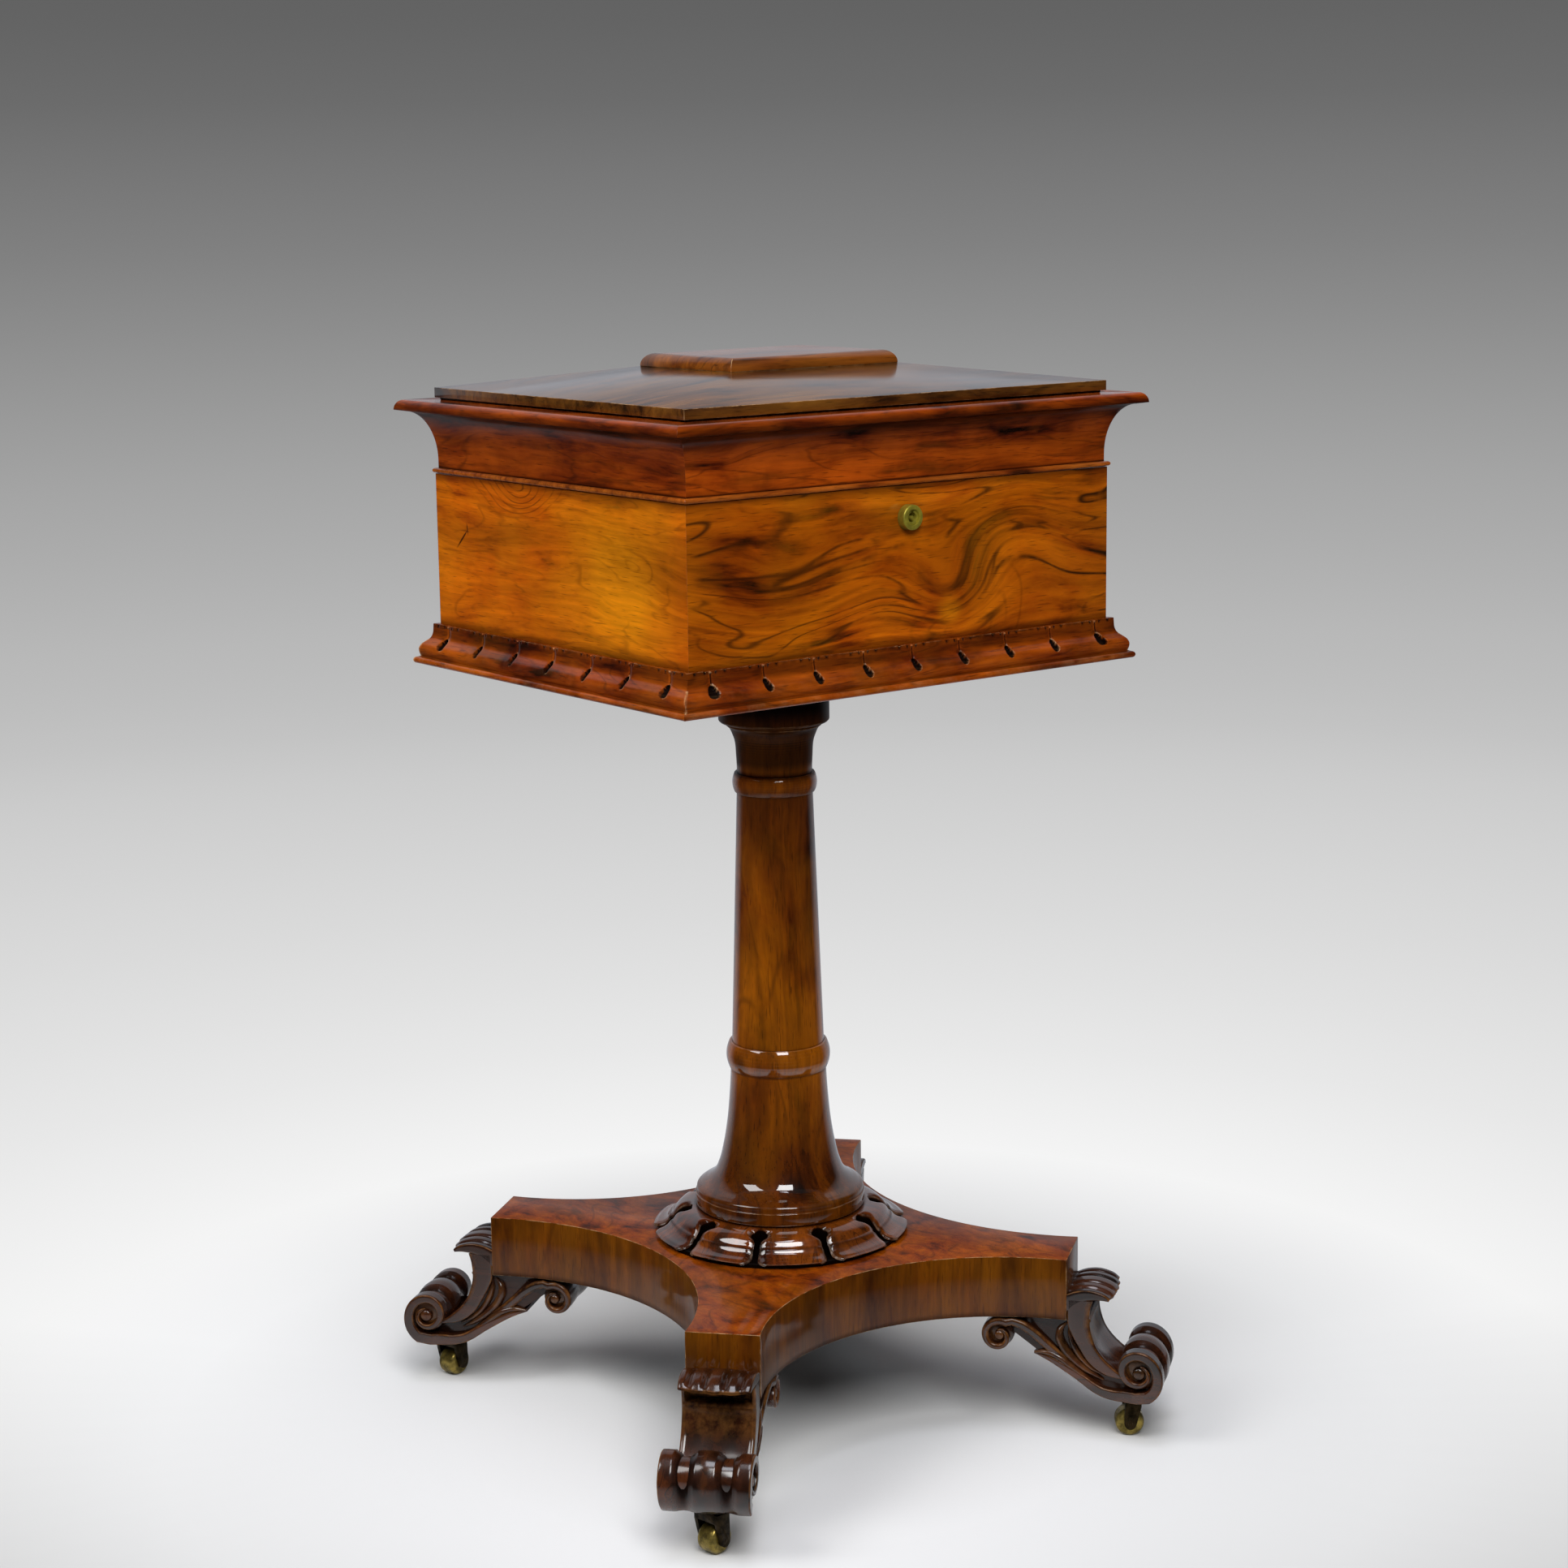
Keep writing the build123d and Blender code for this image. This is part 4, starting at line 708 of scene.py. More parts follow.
def turnedColumn():
    # the outline with its corners softened by the turner's sandpaper, turned round the axis
    section, sharp = softened(np.vstack([[(0, column["tenonBottom"])], columnProfile(),
                                         [(0, column["chestBottom"])]]), 0.5, 4)
    keep = section[:, 0] > 0.5
    section, sharp = section[keep], sharp[keep]
    up = section[:, 1]
    # painted shade in the creases, up under the cap and on the rim of the disc
    bottom, top, most = column["neckDust"]
    grime = np.maximum(-sharp, 0) * 1.2 + most * ease(up, bottom, top)
    for level, reach, share in column["dust"]:
        grime = grime + share * bump(up - level, reach)
    level, reach, share, innermost = column["rimDust"]
    rim = share * bump(up - level, reach) * (section[:, 0] > innermost)
    grime = np.maximum(np.clip(grime, 0, 0.95), rim)
    shell = turned(section, 192, np.maximum(sharp, 0) * 0.5, grime)
    x, y, z = shell["points"].T
    shell["grain"] = np.stack([z, x, y], axis=1)     # figure runs up the column
    return shell


makePiece("turnedColumn", [turnedColumn()], columnWood, "stand", ["column"], 30)

# ---- Collar of petals ----

lotus = {
    "bottom": 134.5, "plinthTop": 137.5, "plinthRadius": 88.5, "radius": 92.0, "top": 154.5,
    "topRadius": 57.0, "petals": 10, "phase": 3.9, "bore": 18.1,
    # the petals' outline as (radius, height): a roll, a shallow hollow, a second roll and a thin lip
    "outline": ((57, 154.5), (64, 154.4), (70, 153.4), (74, 151.7), (76.6, 149.4), (78.3, 146.9),
                (80.2, 145.6), (82.1, 143.2), (84.8, 141.4), (88.4, 140.3), (92, 139.4)),
    "slot": 2.2, "bulb": 6.0, "bulbStart": 63.6, "bulbWidest": 69.0, "bulbEnd": 76.0,    # half widths, radii
    "corner": 8.0, "sideDrop": 1.7, "dropWidth": 4.5,    # a petal's surface falls towards its sides
    "edgeDrop": 0.5, "lip": 0.5, "lipPlace": 1.5, "lipWidth": 1.2,
}


def slotHalf(radius):
    # half the gap beside a petal: nothing next to the column, then a round-ended eye, then a narrow slot that
    # opens at the rim as the petal's corner is rounded off
    k = lotus
    head = (k["bulbWidest"] - radius) / (k["bulbWidest"] - k["bulbStart"])
    eyeHalf = k["bulb"] * np.sqrt(np.clip(1 - np.maximum(head, 0) ** 2, 0, 1))
    neck = k["slot"] + (eyeHalf - k["slot"]) * (1 - ease(radius, k["bulbWidest"] + 0.5, k["bulbEnd"]))
    half = np.where(radius < k["bulbWidest"], eyeHalf, neck)
    toRim = np.clip(k["corner"] - (k["radius"] - radius), 0, k["corner"])
    return half + 0.03 + k["corner"] - np.sqrt(k["corner"] ** 2 - toRim ** 2)


def petal(number):
    # one petal: rows run from under the disc out over the rolls to the rim, the columns across it and down
    # its two sides
    k = lotus
    radius = np.concatenate([
        np.linspace(k["topRadius"], k["bulbStart"], 4),
        k["bulbWidest"] - (k["bulbWidest"] - k["bulbStart"]) * np.cos(np.linspace(0.12, np.pi / 2, 14)),
        np.linspace(k["bulbWidest"] + 0.5, 78, 14), np.linspace(78.6, 84, 8),
        k["radius"] - k["corner"] * np.cos(np.linspace(0.06, np.pi / 2 - 0.02, 22)),
    ])[:, None]
    outline = smoothLine(k["outline"], 8)
    height = np.interp(radius, outline[:, 0], outline[:, 1])
    half = np.pi / k["petals"] * radius - slotHalf(radius)
    top = np.sin(np.linspace(-np.pi / 2, np.pi / 2, 35))[None]
    side = np.array([[0.07, 0.5, 1.0]])
    v = np.concatenate([top, np.ones_like(side), -np.ones_like(side)], axis=1)
    drop = np.concatenate([0 * top, side, side[:, ::-1]], axis=1)
    fromSide = half * (1 - np.abs(v))
    joined = 1 - ease(radius, k["bulbStart"], k["bulbStart"] + 2)
    fromRim = k["radius"] - radius + 0 * v
    edge = np.minimum(fromSide, fromRim + 1)
    fallen = (1 - joined) * (k["sideDrop"] * (1 - ease(edge, 0, k["dropWidth"]))
                             + k["edgeDrop"] * (1 - ease(edge, 0, 1.0)))
    lip = k["lip"] * bump(edge - k["lipPlace"], k["lipWidth"]) * ease(radius, 76, 84)
    base = k["plinthTop"] - 0.5
    up = (height - fallen + lip) * (1 - drop) + base * drop
    inward = radius - 0.9 * drop
    angle = v * (half - 0.7 * drop) / radius + np.radians(k["phase"] + (number + 0.5) * 360 / k["petals"])
    rings = np.stack([inward * np.cos(angle), inward * np.sin(angle), up], axis=-1)
    wear = (drop == 0) * (1 - joined) * 0.8 * bump(edge - 0.8, 1.1)
    # painted shade down the petal's fallen sides, right under the disc, in the hollow between the two rolls
    # and along the edges beside the slots
    grime = np.clip(np.minimum(drop * 14, 1) + 0.8 * (1 - ease(radius, 59.5, 63))
                    + 0.5 * (drop == 0) * bump(radius - 80.0, 1.6)
                    + 0.7 * (drop == 0) * (1 - joined) * (1 - ease(fromSide, 0.6, 3.2)), 0, 1)
    grain = np.stack([radius + number * 90 + 0 * v, v * half, up], axis=-1)
    return tube(rings, wear, grime, grain)


def lotusPlinth():
    # the ring under the petals and the core behind their slots, painted fully dark as the shade there
    k = lotus
    profile = np.array([(k["bore"], k["bottom"]), (k["plinthRadius"], k["bottom"]),
                        (k["plinthRadius"], k["plinthTop"]), (k["plinthRadius"] - 1, k["plinthTop"] + 0.4),
                        (k["topRadius"] + 6, k["plinthTop"] + 2.0), (k["topRadius"] + 5, k["top"] - 1),
                        (k["bore"], k["top"] - 1)])
    section, sharp = softened(profile, 0.5, 3)
    return turned(section, 160, 0.0, 1.0)


makePiece("lotusCollar", [petal(n) for n in range(lotus["petals"])] + [lotusPlinth()], lotusWood, "stand",
          ["lotus_collar"], 50)

# ---- Platform ----

platformPiece = finishedCopy("platform", platformSideVeneer, "zxy", 0.5)
platformPiece.data.materials.append(platformTopVeneer)
platformPiece.data.materials.append(underShadeWood)
sides = platformPiece.data.polygons
upward = readArray(sides, "normal", np.float32, 3).reshape(-1, 3)[:, 2]
# upward faces take the top veneer, downward faces the near black underside that keeps the shade under the
# platform dark
sides.foreach_set("material_index", (upward > 0.9).astype(np.int32) + 2 * (upward < -0.9))

# ---- Feet ----
# A foot is drawn in the upright plane of its arm, as (out from the end of the arm, up from the platform's
# underside), and built of bands that run through its whole width, rolled up into a scroll at each end.

feet = {
    "armReach": 213.5, "platformBottom": 90.0,
    "azimuths": {"front_left": 221.8, "front_right": -52.2, "back_right": 41.8, "back_left": 127.8},
    "roll": (52.0, -34.5), "innerRoll": (-47.8, -14.8), "webWidth": 19.5, "bandWidth": 25.0,
    # carving across the big scroll: how far from its middle, half width, and depth or height
    "cove": (14.4, 6.2, 5.0), "coveEdges": (8.6, 20.4), "edgeCut": (0.9, 1.2), "bead": (9.5, 0.8),
    # the same for the breast and the crest
    "recess": (20.5, 22.5, 7.0), "breastHollow": (21.0, 0.9), "breastEdge": (23.0, 1.6, 0.6),
    "fluteCentres": (6.8, 17.6), "flute": (3.4, 2.0), "crestSwell": (30.0, 1.2),
}


def roundedLoop(flatSteps=16, sideSteps=5, arcSteps=4):
    # the loop of a band's section: which corner a point belongs to (a through the thickness, b across the
    # width), and its place on the quarter circle that rounds this corner
    arc = np.linspace(0, np.pi / 2, arcSteps)
    c, s = np.cos(arc), np.sin(arc)
    one = np.ones(arcSteps)
    across = np.linspace(-1, 1, flatSteps)[1:-1]
    through = np.linspace(1, -1, sideSteps)[1:-1]
    flatOne, sideOne = np.ones(len(across)), np.ones(len(through))
    a = np.concatenate([flatOne, one, through, -one, -flatOne, -one, through[::-1], one])
    b = np.concatenate([across, one, sideOne, one, across[::-1], -one, -sideOne, -one])
    ra = np.concatenate([flatOne, c, 0 * sideOne, -s, -flatOne, -c, 0 * sideOne, s])
    rb = np.concatenate([0 * flatOne, s, sideOne, c, 0 * flatOne, -s, -sideOne, -c])
    return a, b, ra, rb


def footShell(azimuth, out, up, across, wear, grime, shift=0.0):
    # a closed solid drawn in the foot's own plane, turned into the world; its grain runs out along the foot
    turn = np.radians(azimuth)
    outward = np.array([np.cos(turn), np.sin(turn), 0.0])
    sideways = np.array([np.sin(turn), -np.cos(turn), 0.0])
    rings = (outward * (feet["armReach"] + out)[..., None] + sideways * across[..., None]
             + np.array([0, 0, 1.0]) * (feet["platformBottom"] + up)[..., None])
    return tube(rings, wear, grime, np.stack([out, across, up], axis=-1) + shift)


def band(azimuth, outer, inner, halfWidth, corner, relief=None, flatSteps=16, wearShare=0.7, bow=None,
         rubbed=0.0, liftWear=0.3, lipWear=0.0):
    # a strip between an outer and an inner edge line, each corner of its section rounded. relief(row, across,
    # up) lifts or sinks the outer face, and bow(row, across) moves points on along the strip
    a, b, ra, rb = roundedLoop(flatSteps)
    outer, inner = np.array(outer, float), np.array(inner, float)
    middle = (outer + inner) / 2
    half = np.linalg.norm(outer - inner, axis=1)[:, None] / 2
    direction = (outer - inner) / (2 * half)
    width = np.broadcast_to(np.reshape(halfWidth, (-1, 1)), half.shape)
    radius = np.minimum(np.broadcast_to(np.reshape(corner, (-1, 1)), half.shape), half * 0.98)
    through = a * (half - radius) + ra * radius
    across = b * (width - radius) + rb * radius
    row = np.linspace(0, 1, len(outer))[:, None]
    lift = relief(row, across, outer[:, 1:]) * (a > 0.99) * (np.abs(rb) < 0.01) if relief else 0 * across
    point = middle[:, None] + direction[:, None] * (through + lift)[..., None]
    if bow:
        run = np.gradient(middle, axis=0)
        run /= np.linalg.norm(run, axis=1)[:, None]
        point = point + run[:, None] * bow(row, across)[..., None]
    wear = wearShare * np.clip(np.abs(2 * ra * rb) + liftWear * np.maximum(lift - 0.5, 0)
                               + rubbed * (a > 0.99) + lipWear * ease(row, 0.93, 1.0), 0, 1)
    # painted shade where the relief sinks the face
    grime = np.clip(np.maximum(-lift, 0) * 0.24 - 0.02, 0, 0.95)
    return footShell(azimuth, point[..., 0], point[..., 1], across, wear, grime, np.radians(azimuth) * 300)


def spiral(centre, angles, radii, steps=7):
    # a line round a centre whose radius is a smooth function of the angle, given in degrees
    table = smoothLine(np.stack([angles, radii], axis=1), steps)
    turn = np.radians(table[:, 0])
    return np.array(centre) + table[:, 1:] * np.stack([np.cos(turn), np.sin(turn)], axis=1)


def spread(values, count):
    # values given at even places along a line, filled in between for count points
    return np.interp(np.linspace(0, 1, count), np.linspace(0, 1, len(values)), values)


def rolledStrip(*parts):
    # the edge lines and half widths of a band made of parts that follow each other, each with its outer
    # line, and with thicknesses and half widths at even places along it
    outer = np.vstack([line for line, thicknesses, widths in parts])
    thickness = np.concatenate([spread(thicknesses, len(line)) for line, thicknesses, widths in parts])
    width = np.concatenate([spread(widths, len(line)) for line, thicknesses, widths in parts])
    return outer, outer + leftOf(outer) * thickness[:, None], width


def outerRoll(azimuth):
    # the band under the foot, from the leaf's tip out along the sole and up into the scroll, with two
    # hollows and a bead turned across the scroll
    under = smoothLine([(-24, -28.6), (-15, -32), (4.5, -43), (24, -55), (34, -57.6), (43.5, -58),
                        (50, -57.8)], 7)
    curl = spiral(feet["roll"], np.arange(-70, 451, 30),
                  [22.6, 19.9, 17.4, 16.2, 16.1, 16.6, 17.0, 16.4, 14.8, 12.8, 11.4, 10.5, 9.8, 9.1, 8.3, 7.3,
                   6.4, 5.6], 6)
    outer, inner, width = rolledStrip(
        (under, [2.0, 4.5, 6.5, 7.5, 8.5, 8.5], [20, 23, 25, 25, 28]),
        (curl, [8.5, 7.5, 6.8, 6.4, 6.0, 5.2, 4.4, 3.6, 3.0, 2.6, 2.4], [30, 31, 31, 31, 31, 31, 30, 28]))
    start = len(under) / len(outer)

    def hollows(row, across, up):
        centre, width, depth = feet["cove"]
        cutWidth, cut = feet["edgeCut"]
        beadWidth, height = feet["bead"]
        fade = ease(row, start - 0.05, start + 0.12)
        cove = bump(np.abs(across) - centre, width) ** 0.55
        edge = sum(bump(np.abs(across) - place, cutWidth) for place in feet["coveEdges"])
        return fade * (height * bump(across, beadWidth) - depth * cove - cut * edge)

    return band(azimuth, outer, inner, width, 1.3, hollows, 46)


def breastBand(azimuth):
    # the broad band down the front of the foot, from under the crest to its point beside the scroll, with a
    # deep recess under the crest and a thin raised line below that
    outer = smoothLine([(18.5, 15), (16.8, 9), (16, 3), (15.8, -4), (17.2, -11), (20.2, -19), (26, -27),
                        (33, -33.5), (42, -39.8)], 12)
    inner = smoothLine([(0.5, 15), (0.5, 9), (0.5, 3), (1.0, -4), (4, -11), (9, -20), (16, -30.5),
                        (26.8, -38.2), (42, -41.4)], 12)

    def front(row, across, up):
        fromHere, toHere, deep = feet["recess"]
        hollowWidth, shallow = feet["breastHollow"]
        place, width, height = feet["breastEdge"]
        recess = ease(up, 1.6, 2.8) * (1 - ease(np.abs(across), fromHere, toHere))
        line = bump(up - 0.2, 1.6) * (1 - ease(np.abs(across), 23, 24.5))
        hollow = bump(across, hollowWidth) * (1 - ease(up, -6, 0))
        edge = bump(np.abs(across) - place, width) * (up < 0)
        return line - deep * recess - shallow * hollow + height * edge

    rubbed = 0.75 * (1 - ease(np.linspace(0, 1, len(outer)), 0.5, 0.72))[:, None]
    return band(azimuth, outer, inner, feet["bandWidth"], 1.0, front, 46, rubbed=rubbed, liftWear=2.0)


def crest(azimuth):
    # the leaf that curls over the front: fluted along its length, higher in the middle, its lip bowed out
    outer = smoothLine([(0, 19.0), (6.5, 21.6), (14.5, 22.8), (22, 21.8), (27.5, 19.6), (30.6, 17.0)], 8)
    inner = smoothLine([(0, 6), (7, 12), (14, 15.0), (20.5, 15.8), (25.5, 15.8), (29.6, 15.2)], 8)

    def flutes(row, across, up):
        width, depth = feet["flute"]
        swellWidth, swell = feet["crestSwell"]
        vein = sum(bump(np.abs(across) - place, width) for place in feet["fluteCentres"])
        fade = ease(row, 0.0, 0.1) * (1 - 0.7 * ease(row, 0.75, 0.95))
        return swell * bump(across, swellWidth) - depth * vein * fade

    def bow(row, across):
        lobes = 0.4 * np.cos(across / 12.2 * 2 * np.pi)
        return ease(row, 0.45, 1) * (3.0 * (1 - (across / 25) ** 2) - 0.8 + lobes)

    width = spread([25, 25, 25, 24.8, 24.4], len(outer))
    return band(azimuth, outer, inner, width, 1.0, flutes, 52, 0.8, bow, liftWear=0.05, lipWear=1.0)


def innerScroll(azimuth):
    # the band that rises from the sole to the back of the foot and rolls into the small scroll
    rise = smoothLine([(8, -32.5), (-4, -25.0), (-13, -17.2), (-22, -9.2), (-31, -3.6), (-39, -1.2)], 6)
    curl = spiral(feet["innerRoll"], np.arange(70, 471, 40),
                  [13.5, 13.2, 13.0, 12.6, 11.8, 10.6, 9.0, 7.4, 6.2, 5.2, 4.2], 7)
    outer, inner, width = rolledStrip(
        (rise, [5, 6.5, 6.8, 6.6, 6], [21.5, 23.5, 25, 26]),
        (curl, [6, 5.4, 5, 4.4, 3.6, 2.8, 2.2], [27.5, 27.5, 27.5, 26]))
    return band(azimuth, outer, inner, width, 2.3, lambda row, across, up: -0.8 * bump(across, 16), 20)


def web(azimuth):
    # the recessed middle of the foot between its bands
    outline = [(9, 16), (9, 3), (14, -4), (14.5, -8), (19, -22), (31, -36), (46, -43), (46, -55),
               (36, -56.3), (24, -53), (4.5, -41), (-10, -32), (-20, -27), (-38, -14), (-47, -3),
               (-47, -0.2), (0.2, -0.2), (0.2, 16)]
    section, sharp = softened(outline[::-1], 1.2, 3)
    centre = section.mean(axis=0)
    inset = np.array([0.985, 1, 1, 0.985])[:, None, None]
    shape = centre + (section[None] - centre) * inset
    across = np.array([-1, -0.97, 0.97, 1])[:, None] * feet["webWidth"] + 0 * shape[..., 0]
    # painted shade over the whole recess
    return footShell(azimuth, shape[..., 0], shape[..., 1], across, 0.0, 0.45)


def ridge(azimuth, path, radii, across, lift):
    # a tapered vein on one side of the foot: an ellipse carried along a path
    line = smoothLine(path, 6)
    size = spread(radii, len(line))[:, None]
    angle = np.linspace(0, 2 * np.pi, 14, endpoint=False)[None]
    point = line[:, None] + leftOf(line)[:, None] * (size * np.cos(angle))[..., None]
    sideways = across + np.sign(across) * lift * size / max(radii) * np.sin(angle)
    wear = 0.35 * np.maximum(np.sin(angle), 0)
    # a little painted shade over the whole vein
    return footShell(azimuth, point[..., 0], point[..., 1], sideways, wear, 0.1)


def eye(azimuth, centre, radius, halfWidth):
    # the button at the heart of a scroll: a short bar through the foot with domed ends
    across = np.array([-1, -0.985, -0.95, -0.9, 0.9, 0.95, 0.985, 1])[:, None] * halfWidth
    size = np.array([0.3, 0.75, 0.95, 1, 1, 0.95, 0.75, 0.3])[:, None] * radius
    angle = np.linspace(0, 2 * np.pi, 28, endpoint=False)[None]
    out = centre[0] + size * np.cos(angle)
    up = centre[1] + size * np.sin(angle)
    wear = 0.4 * (np.abs(across) > 0.97 * halfWidth)
    return footShell(azimuth, out, up, across + 0 * out, wear, 0.0)


leafVeins = (   # path, radii, how far it stands out
    (((-0.5, -3.5), (-5.0, -9), (-5.5, -15), (-2.5, -21.5), (4, -29), (14, -37), (26, -44)),
     (0.8, 2.6, 3.2, 3.2, 3.0, 2.4, 0.8), 5.4),
    (((1.5, -4.5), (2.0, -11), (4.5, -19), (10, -28), (18, -35.5), (28, -41)),
     (0.6, 2.0, 2.6, 2.4, 2.0, 0.6), 4.6),
    (((-23.5, -27.2), (-15, -26.2), (-6, -28.6), (2, -34), (12, -41.5), (22, -48.5)),
     (0.8, 2.2, 2.8, 2.8, 2.2, 0.8), 5.2),
)
scrollEyes = (("roll", 4.6, 30.2), ("innerRoll", 3.6, 27.0), ("roll", 13.2, 26.0), ("innerRoll", 9.6, 22.0))


def foot(azimuth):
    return ([outerRoll(azimuth), breastBand(azimuth), crest(azimuth), innerScroll(azimuth), web(azimuth)]
            + [eye(azimuth, feet[scroll], radius, halfWidth) for scroll, radius, halfWidth in scrollEyes]
            + [ridge(azimuth, path, radii, hand * feet["webWidth"], lift)
               for path, radii, lift in leafVeins for hand in (-1, 1)])


for corner, azimuth in feet["azimuths"].items():
    makePiece(camel("foot_" + corner), foot(azimuth), carvedWood, "stand", ["foot_" + corner], 50)

# ---- Castors, lock, hinges and the fittings inside ----

# how a node's name starts, its material, the axes of its grain and its edge in mm; the first that fits counts
fittings = (
    ("castor_wheel", wheelBrass, "xyz", 0.0), ("castor_", hornBronze, "xyz", 0.5),
    ("lock_", lockBrass, "xyz", 0.25), ("hinge_", hingeBrass, "xyz", 0.15),
    ("column_plate_screws", hingeBrass, "xyz", 0.15), ("glass_", bowlGlass, "xyz", 0.3),
    ("canister_lid", innerMahogany, "xyz", 0.4), ("canister_front", innerMahogany, "zxy", 0.4),
    ("canister_back", innerMahogany, "zxy", 0.4),
)
for node in frame["nodes"]:
    for start, material, axes, edge in fittings:
        if node.startswith(start):
            finishedCopy(node, material, axes, edge)
            break
print("fittings made")

# ---- Floor, backdrop, light and camera ----

studio = {
    "floorRadius": 2.9, "coveRadius": 0.5, "wallTop": 5.0,       # metres
    # how pale the sheet is, by the distance along it from the object, in metres; further off, where the sheet
    # glows, these tones are painted light that falls off with distance
    "shades": ((0.0, "#e8e8e8"), (0.26, "#eaeaea"), (0.45, "#f6f6f6"), (0.57, "#f6f6f6"), (0.74, "#f0f0f0"),
               (0.96, "#e8e8e8"), (1.23, "#e1e1e1"), (1.56, "#dadada"), (1.98, "#d3d3d3"), (2.5, "#cbcbcb"),
               (3.0, "#c1c1c1"), (3.24, "#b8b8b8"),
               (3.4, "#aeaeae"), (3.55, "#a4a4a4"), (3.68, "#999999"), (3.82, "#8c8c8c"), (3.95, "#808080"),
               (4.08, "#767676"), (4.2, "#6b6b6b"), (4.34, "#636363"), (5.4, "#505050"), (8.2, "#484848")),
    "dusk": 0.38,     # how much darker the sheet is painted in front of the object: a painted fall-off of light
    # a painted reflection, what the polish mirrors: a dark room on the camera's side, a pale sheet behind, by
    # the direction
    "mirrored": ((0.0, "#121214"), (0.70, "#18181a"), (0.84, "#b2b4ba"), (1.0, "#bcc0c8")),
    "cameraPlace": (-1.31606, -1.71106, 0.88672),
    "yaw": -37.74, "pitch": 11.13, "roll": -0.73, "lens": 71.61,
}


def sweepSheet():
    # a bowl of seamless paper: a flat floor that curves up into an upright wall all round
    r, c, top = studio["floorRadius"], studio["coveRadius"], studio["wallTop"]
    turn = np.linspace(0, np.pi / 2, 13)
    profile = np.vstack([[(0.0001, 0)], [(r * k, 0) for k in (0.1, 0.25, 0.5, 0.8)],
                         np.stack([r + c * np.sin(turn), c - c * np.cos(turn)], axis=1),
                         [(r + c, c + (top - c) * k) for k in (0.25, 0.5, 0.75, 1.0)]])
    angle = np.linspace(0, 2 * np.pi, 96, endpoint=False)
    points = np.stack([profile[:, :1] * np.cos(angle), profile[:, :1] * np.sin(angle),
                       profile[:, 1:] + 0 * angle], axis=-1)
    index = np.arange(points.size // 3).reshape(points.shape[:2])
    length = np.concatenate([[0], np.cumsum(np.linalg.norm(np.diff(profile, axis=0), axis=1))])
    mesh = bpy.data.meshes.new("paperSweep")
    mesh.from_pydata(points.reshape(-1, 3), [], gridQuads(index).tolist() + index[:1].tolist())
    addFloats(mesh, "run", np.repeat(length, len(angle)))
    away = np.cos(angle - np.radians(studio["yaw"] + 90))    # 1 straight behind the object, -1 at the camera
    addFloats(mesh, "behind", np.tile(away / 2 + 0.5, len(profile)))
    mesh.shade_smooth()
    sweep = bpy.data.objects.new("paperSweep", mesh)
    bpy.context.scene.collection.objects.link(sweep)
    return sweep


# Matt seamless paper near the object, lit by the lamps and taking the shadow; further off it glows with a
# painted tone, darker with distance and in front of the object, and glossy rays see a painted reflection on
# it.
def paper():
    material, tree = newMaterial("seamlessPaper")
    run, behind = attribute(tree, "run"), attribute(tree, "behind")
    ray = addNode(tree, "LightPath").outputs
    last = studio["shades"][-1][0]
    shades = addNode(tree, "ValToRGB", {"stops": [(at / last, tone) for at, tone in studio["shades"]],
                                        "Fac": remap(tree, run, 0.0, last)})
    fall = calc(tree, "MULTIPLY", remap(tree, behind, 0.65, 0.1, 0.0, studio["dusk"]),
                remap(tree, run, 0.25, 0.6))
    sheet = blend(tree, fall, shades, linear("#000000"))
    matt = addNode(tree, "BsdfPrincipled", {"Base Color": sheet, "Roughness": 0.9, "Specular IOR Level": 0.1})
    mirrored = addNode(tree, "ValToRGB", {"stops": studio["mirrored"], "Fac": behind})
    tone = blend(tree, ray["Is Glossy Ray"], sheet, mirrored)
    # painted light: further off the sheet glows with its tone for camera, glossy and transmission rays,
    # though it is no lamp
    plain = addNode(tree, "Emission", {"Color": tone, "Strength": 1.0})
    seen = calc(tree, "MAXIMUM", ray["Is Camera Ray"], ray["Is Glossy Ray"])
    seen = calc(tree, "MAXIMUM", seen, ray["Is Transmission Ray"])
    far = calc(tree, "MULTIPLY", remap(tree, run, 0.28, 0.62), seen)
    addNode(tree, "OutputMaterial", {"Surface": addNode(tree, "MixShader", {0: far, 1: matt, 2: plain})})
    return material


sweepSheet().data.materials.append(paper())


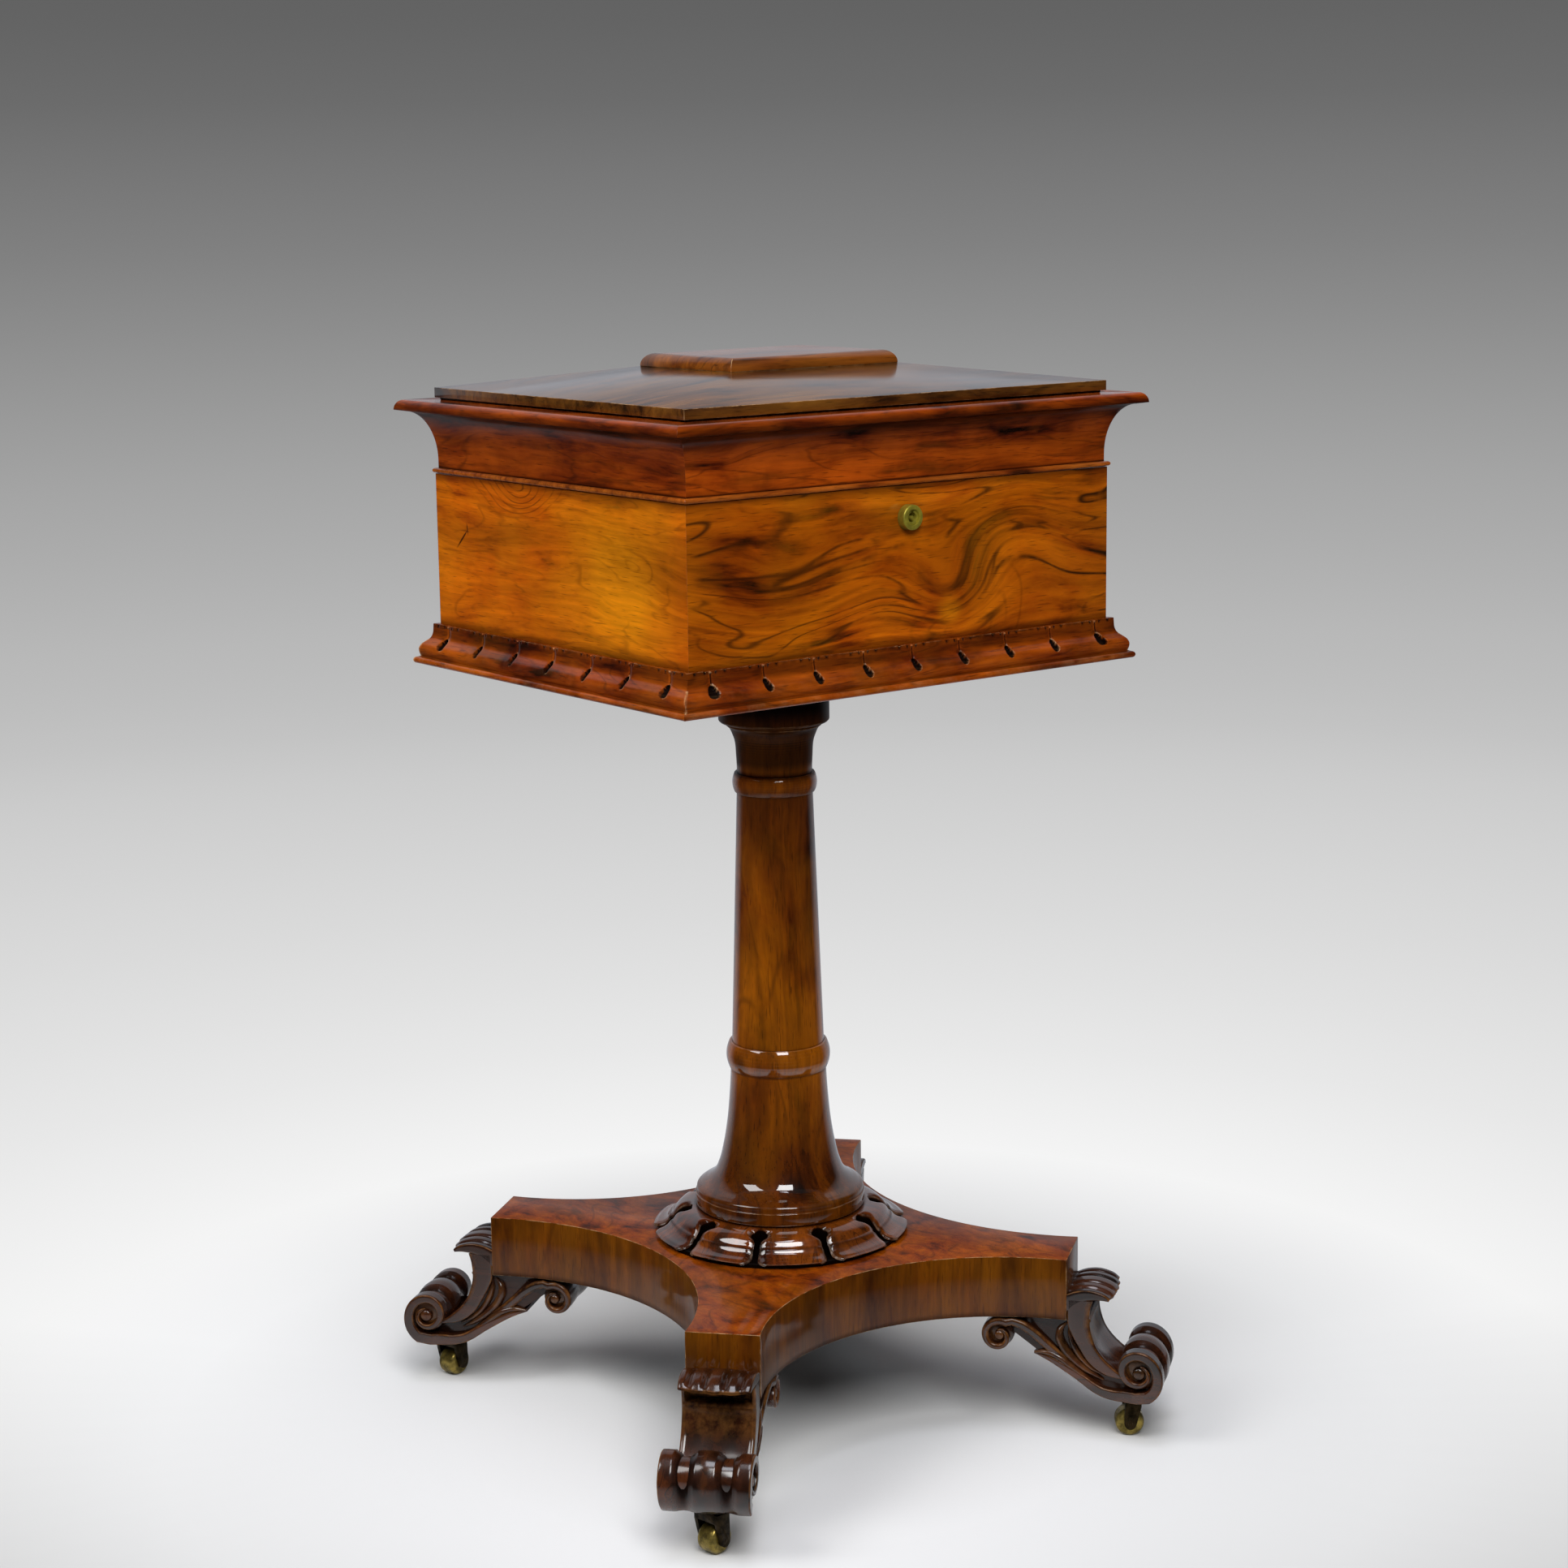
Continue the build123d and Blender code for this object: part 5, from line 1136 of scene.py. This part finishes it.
def softbox(name, place, aim, size, watts, colour="#ffffff"):
    data = bpy.data.lights.new(name, "AREA")
    data.shape = "RECTANGLE"
    data.size, data.size_y = size
    data.energy = watts
    data.color = linear(colour)[:3]
    lamp = bpy.data.objects.new(name, data)
    lamp.location = place
    lamp.rotation_euler = (Vector(aim) - Vector(place)).to_track_quat("-Z", "Y").to_euler()
    bpy.context.scene.collection.objects.link(lamp)


softbox("leftBox", (-1.784, 0.238, 2.0), (0, 0, 0.45), (1.0, 1.3), 26.5)
softbox("rightBox", (-0.806, -1.609, 2.0), (0, 0, 0.45), (1.0, 1.3), 43)
softbox("ceilingBox", (-0.45, -0.5, 2.9), (0, 0, 0.3), (1.0, 1.0), 20, "#f2f5ff")

world = bpy.data.worlds.new("studioAir")
bpy.context.scene.world = world
world.use_nodes = True
worldTree = world.node_tree
worldTree.nodes.clear()
ray = addNode(worldTree, "LightPath").outputs
# the air lights the scene at 0.58 but shows only 0.08 in the polish: a painted dark room in the reflections
dim = remap(worldTree, ray["Is Glossy Ray"], 0.0, 1.0, 0.58, 0.08)
air = addNode(worldTree, "Background", {"Color": linear("#e4e8ee"), "Strength": dim})
addNode(worldTree, "OutputWorld", {"Surface": air})

yaw, pitch, roll = (np.radians(studio[k]) for k in ("yaw", "pitch", "roll"))
ahead = np.array([-np.sin(yaw) * np.cos(pitch), np.cos(yaw) * np.cos(pitch), -np.sin(pitch)])
level = np.array([np.cos(yaw), np.sin(yaw), 0.0])
upward = np.cross(level, ahead)
right = np.cos(roll) * level + np.sin(roll) * upward
top = np.cos(roll) * upward - np.sin(roll) * level
cameraData = bpy.data.cameras.new("camera")
cameraData.sensor_width = 36
cameraData.lens = studio["lens"]
camera = bpy.data.objects.new("camera", cameraData)
camera.matrix_world = Matrix([*zip(right, top, -ahead, studio["cameraPlace"]), (0, 0, 0, 1)])
bpy.context.scene.collection.objects.link(camera)
bpy.context.scene.camera = camera
bpy.context.scene.view_settings.view_transform = "Standard"
print("studio made")
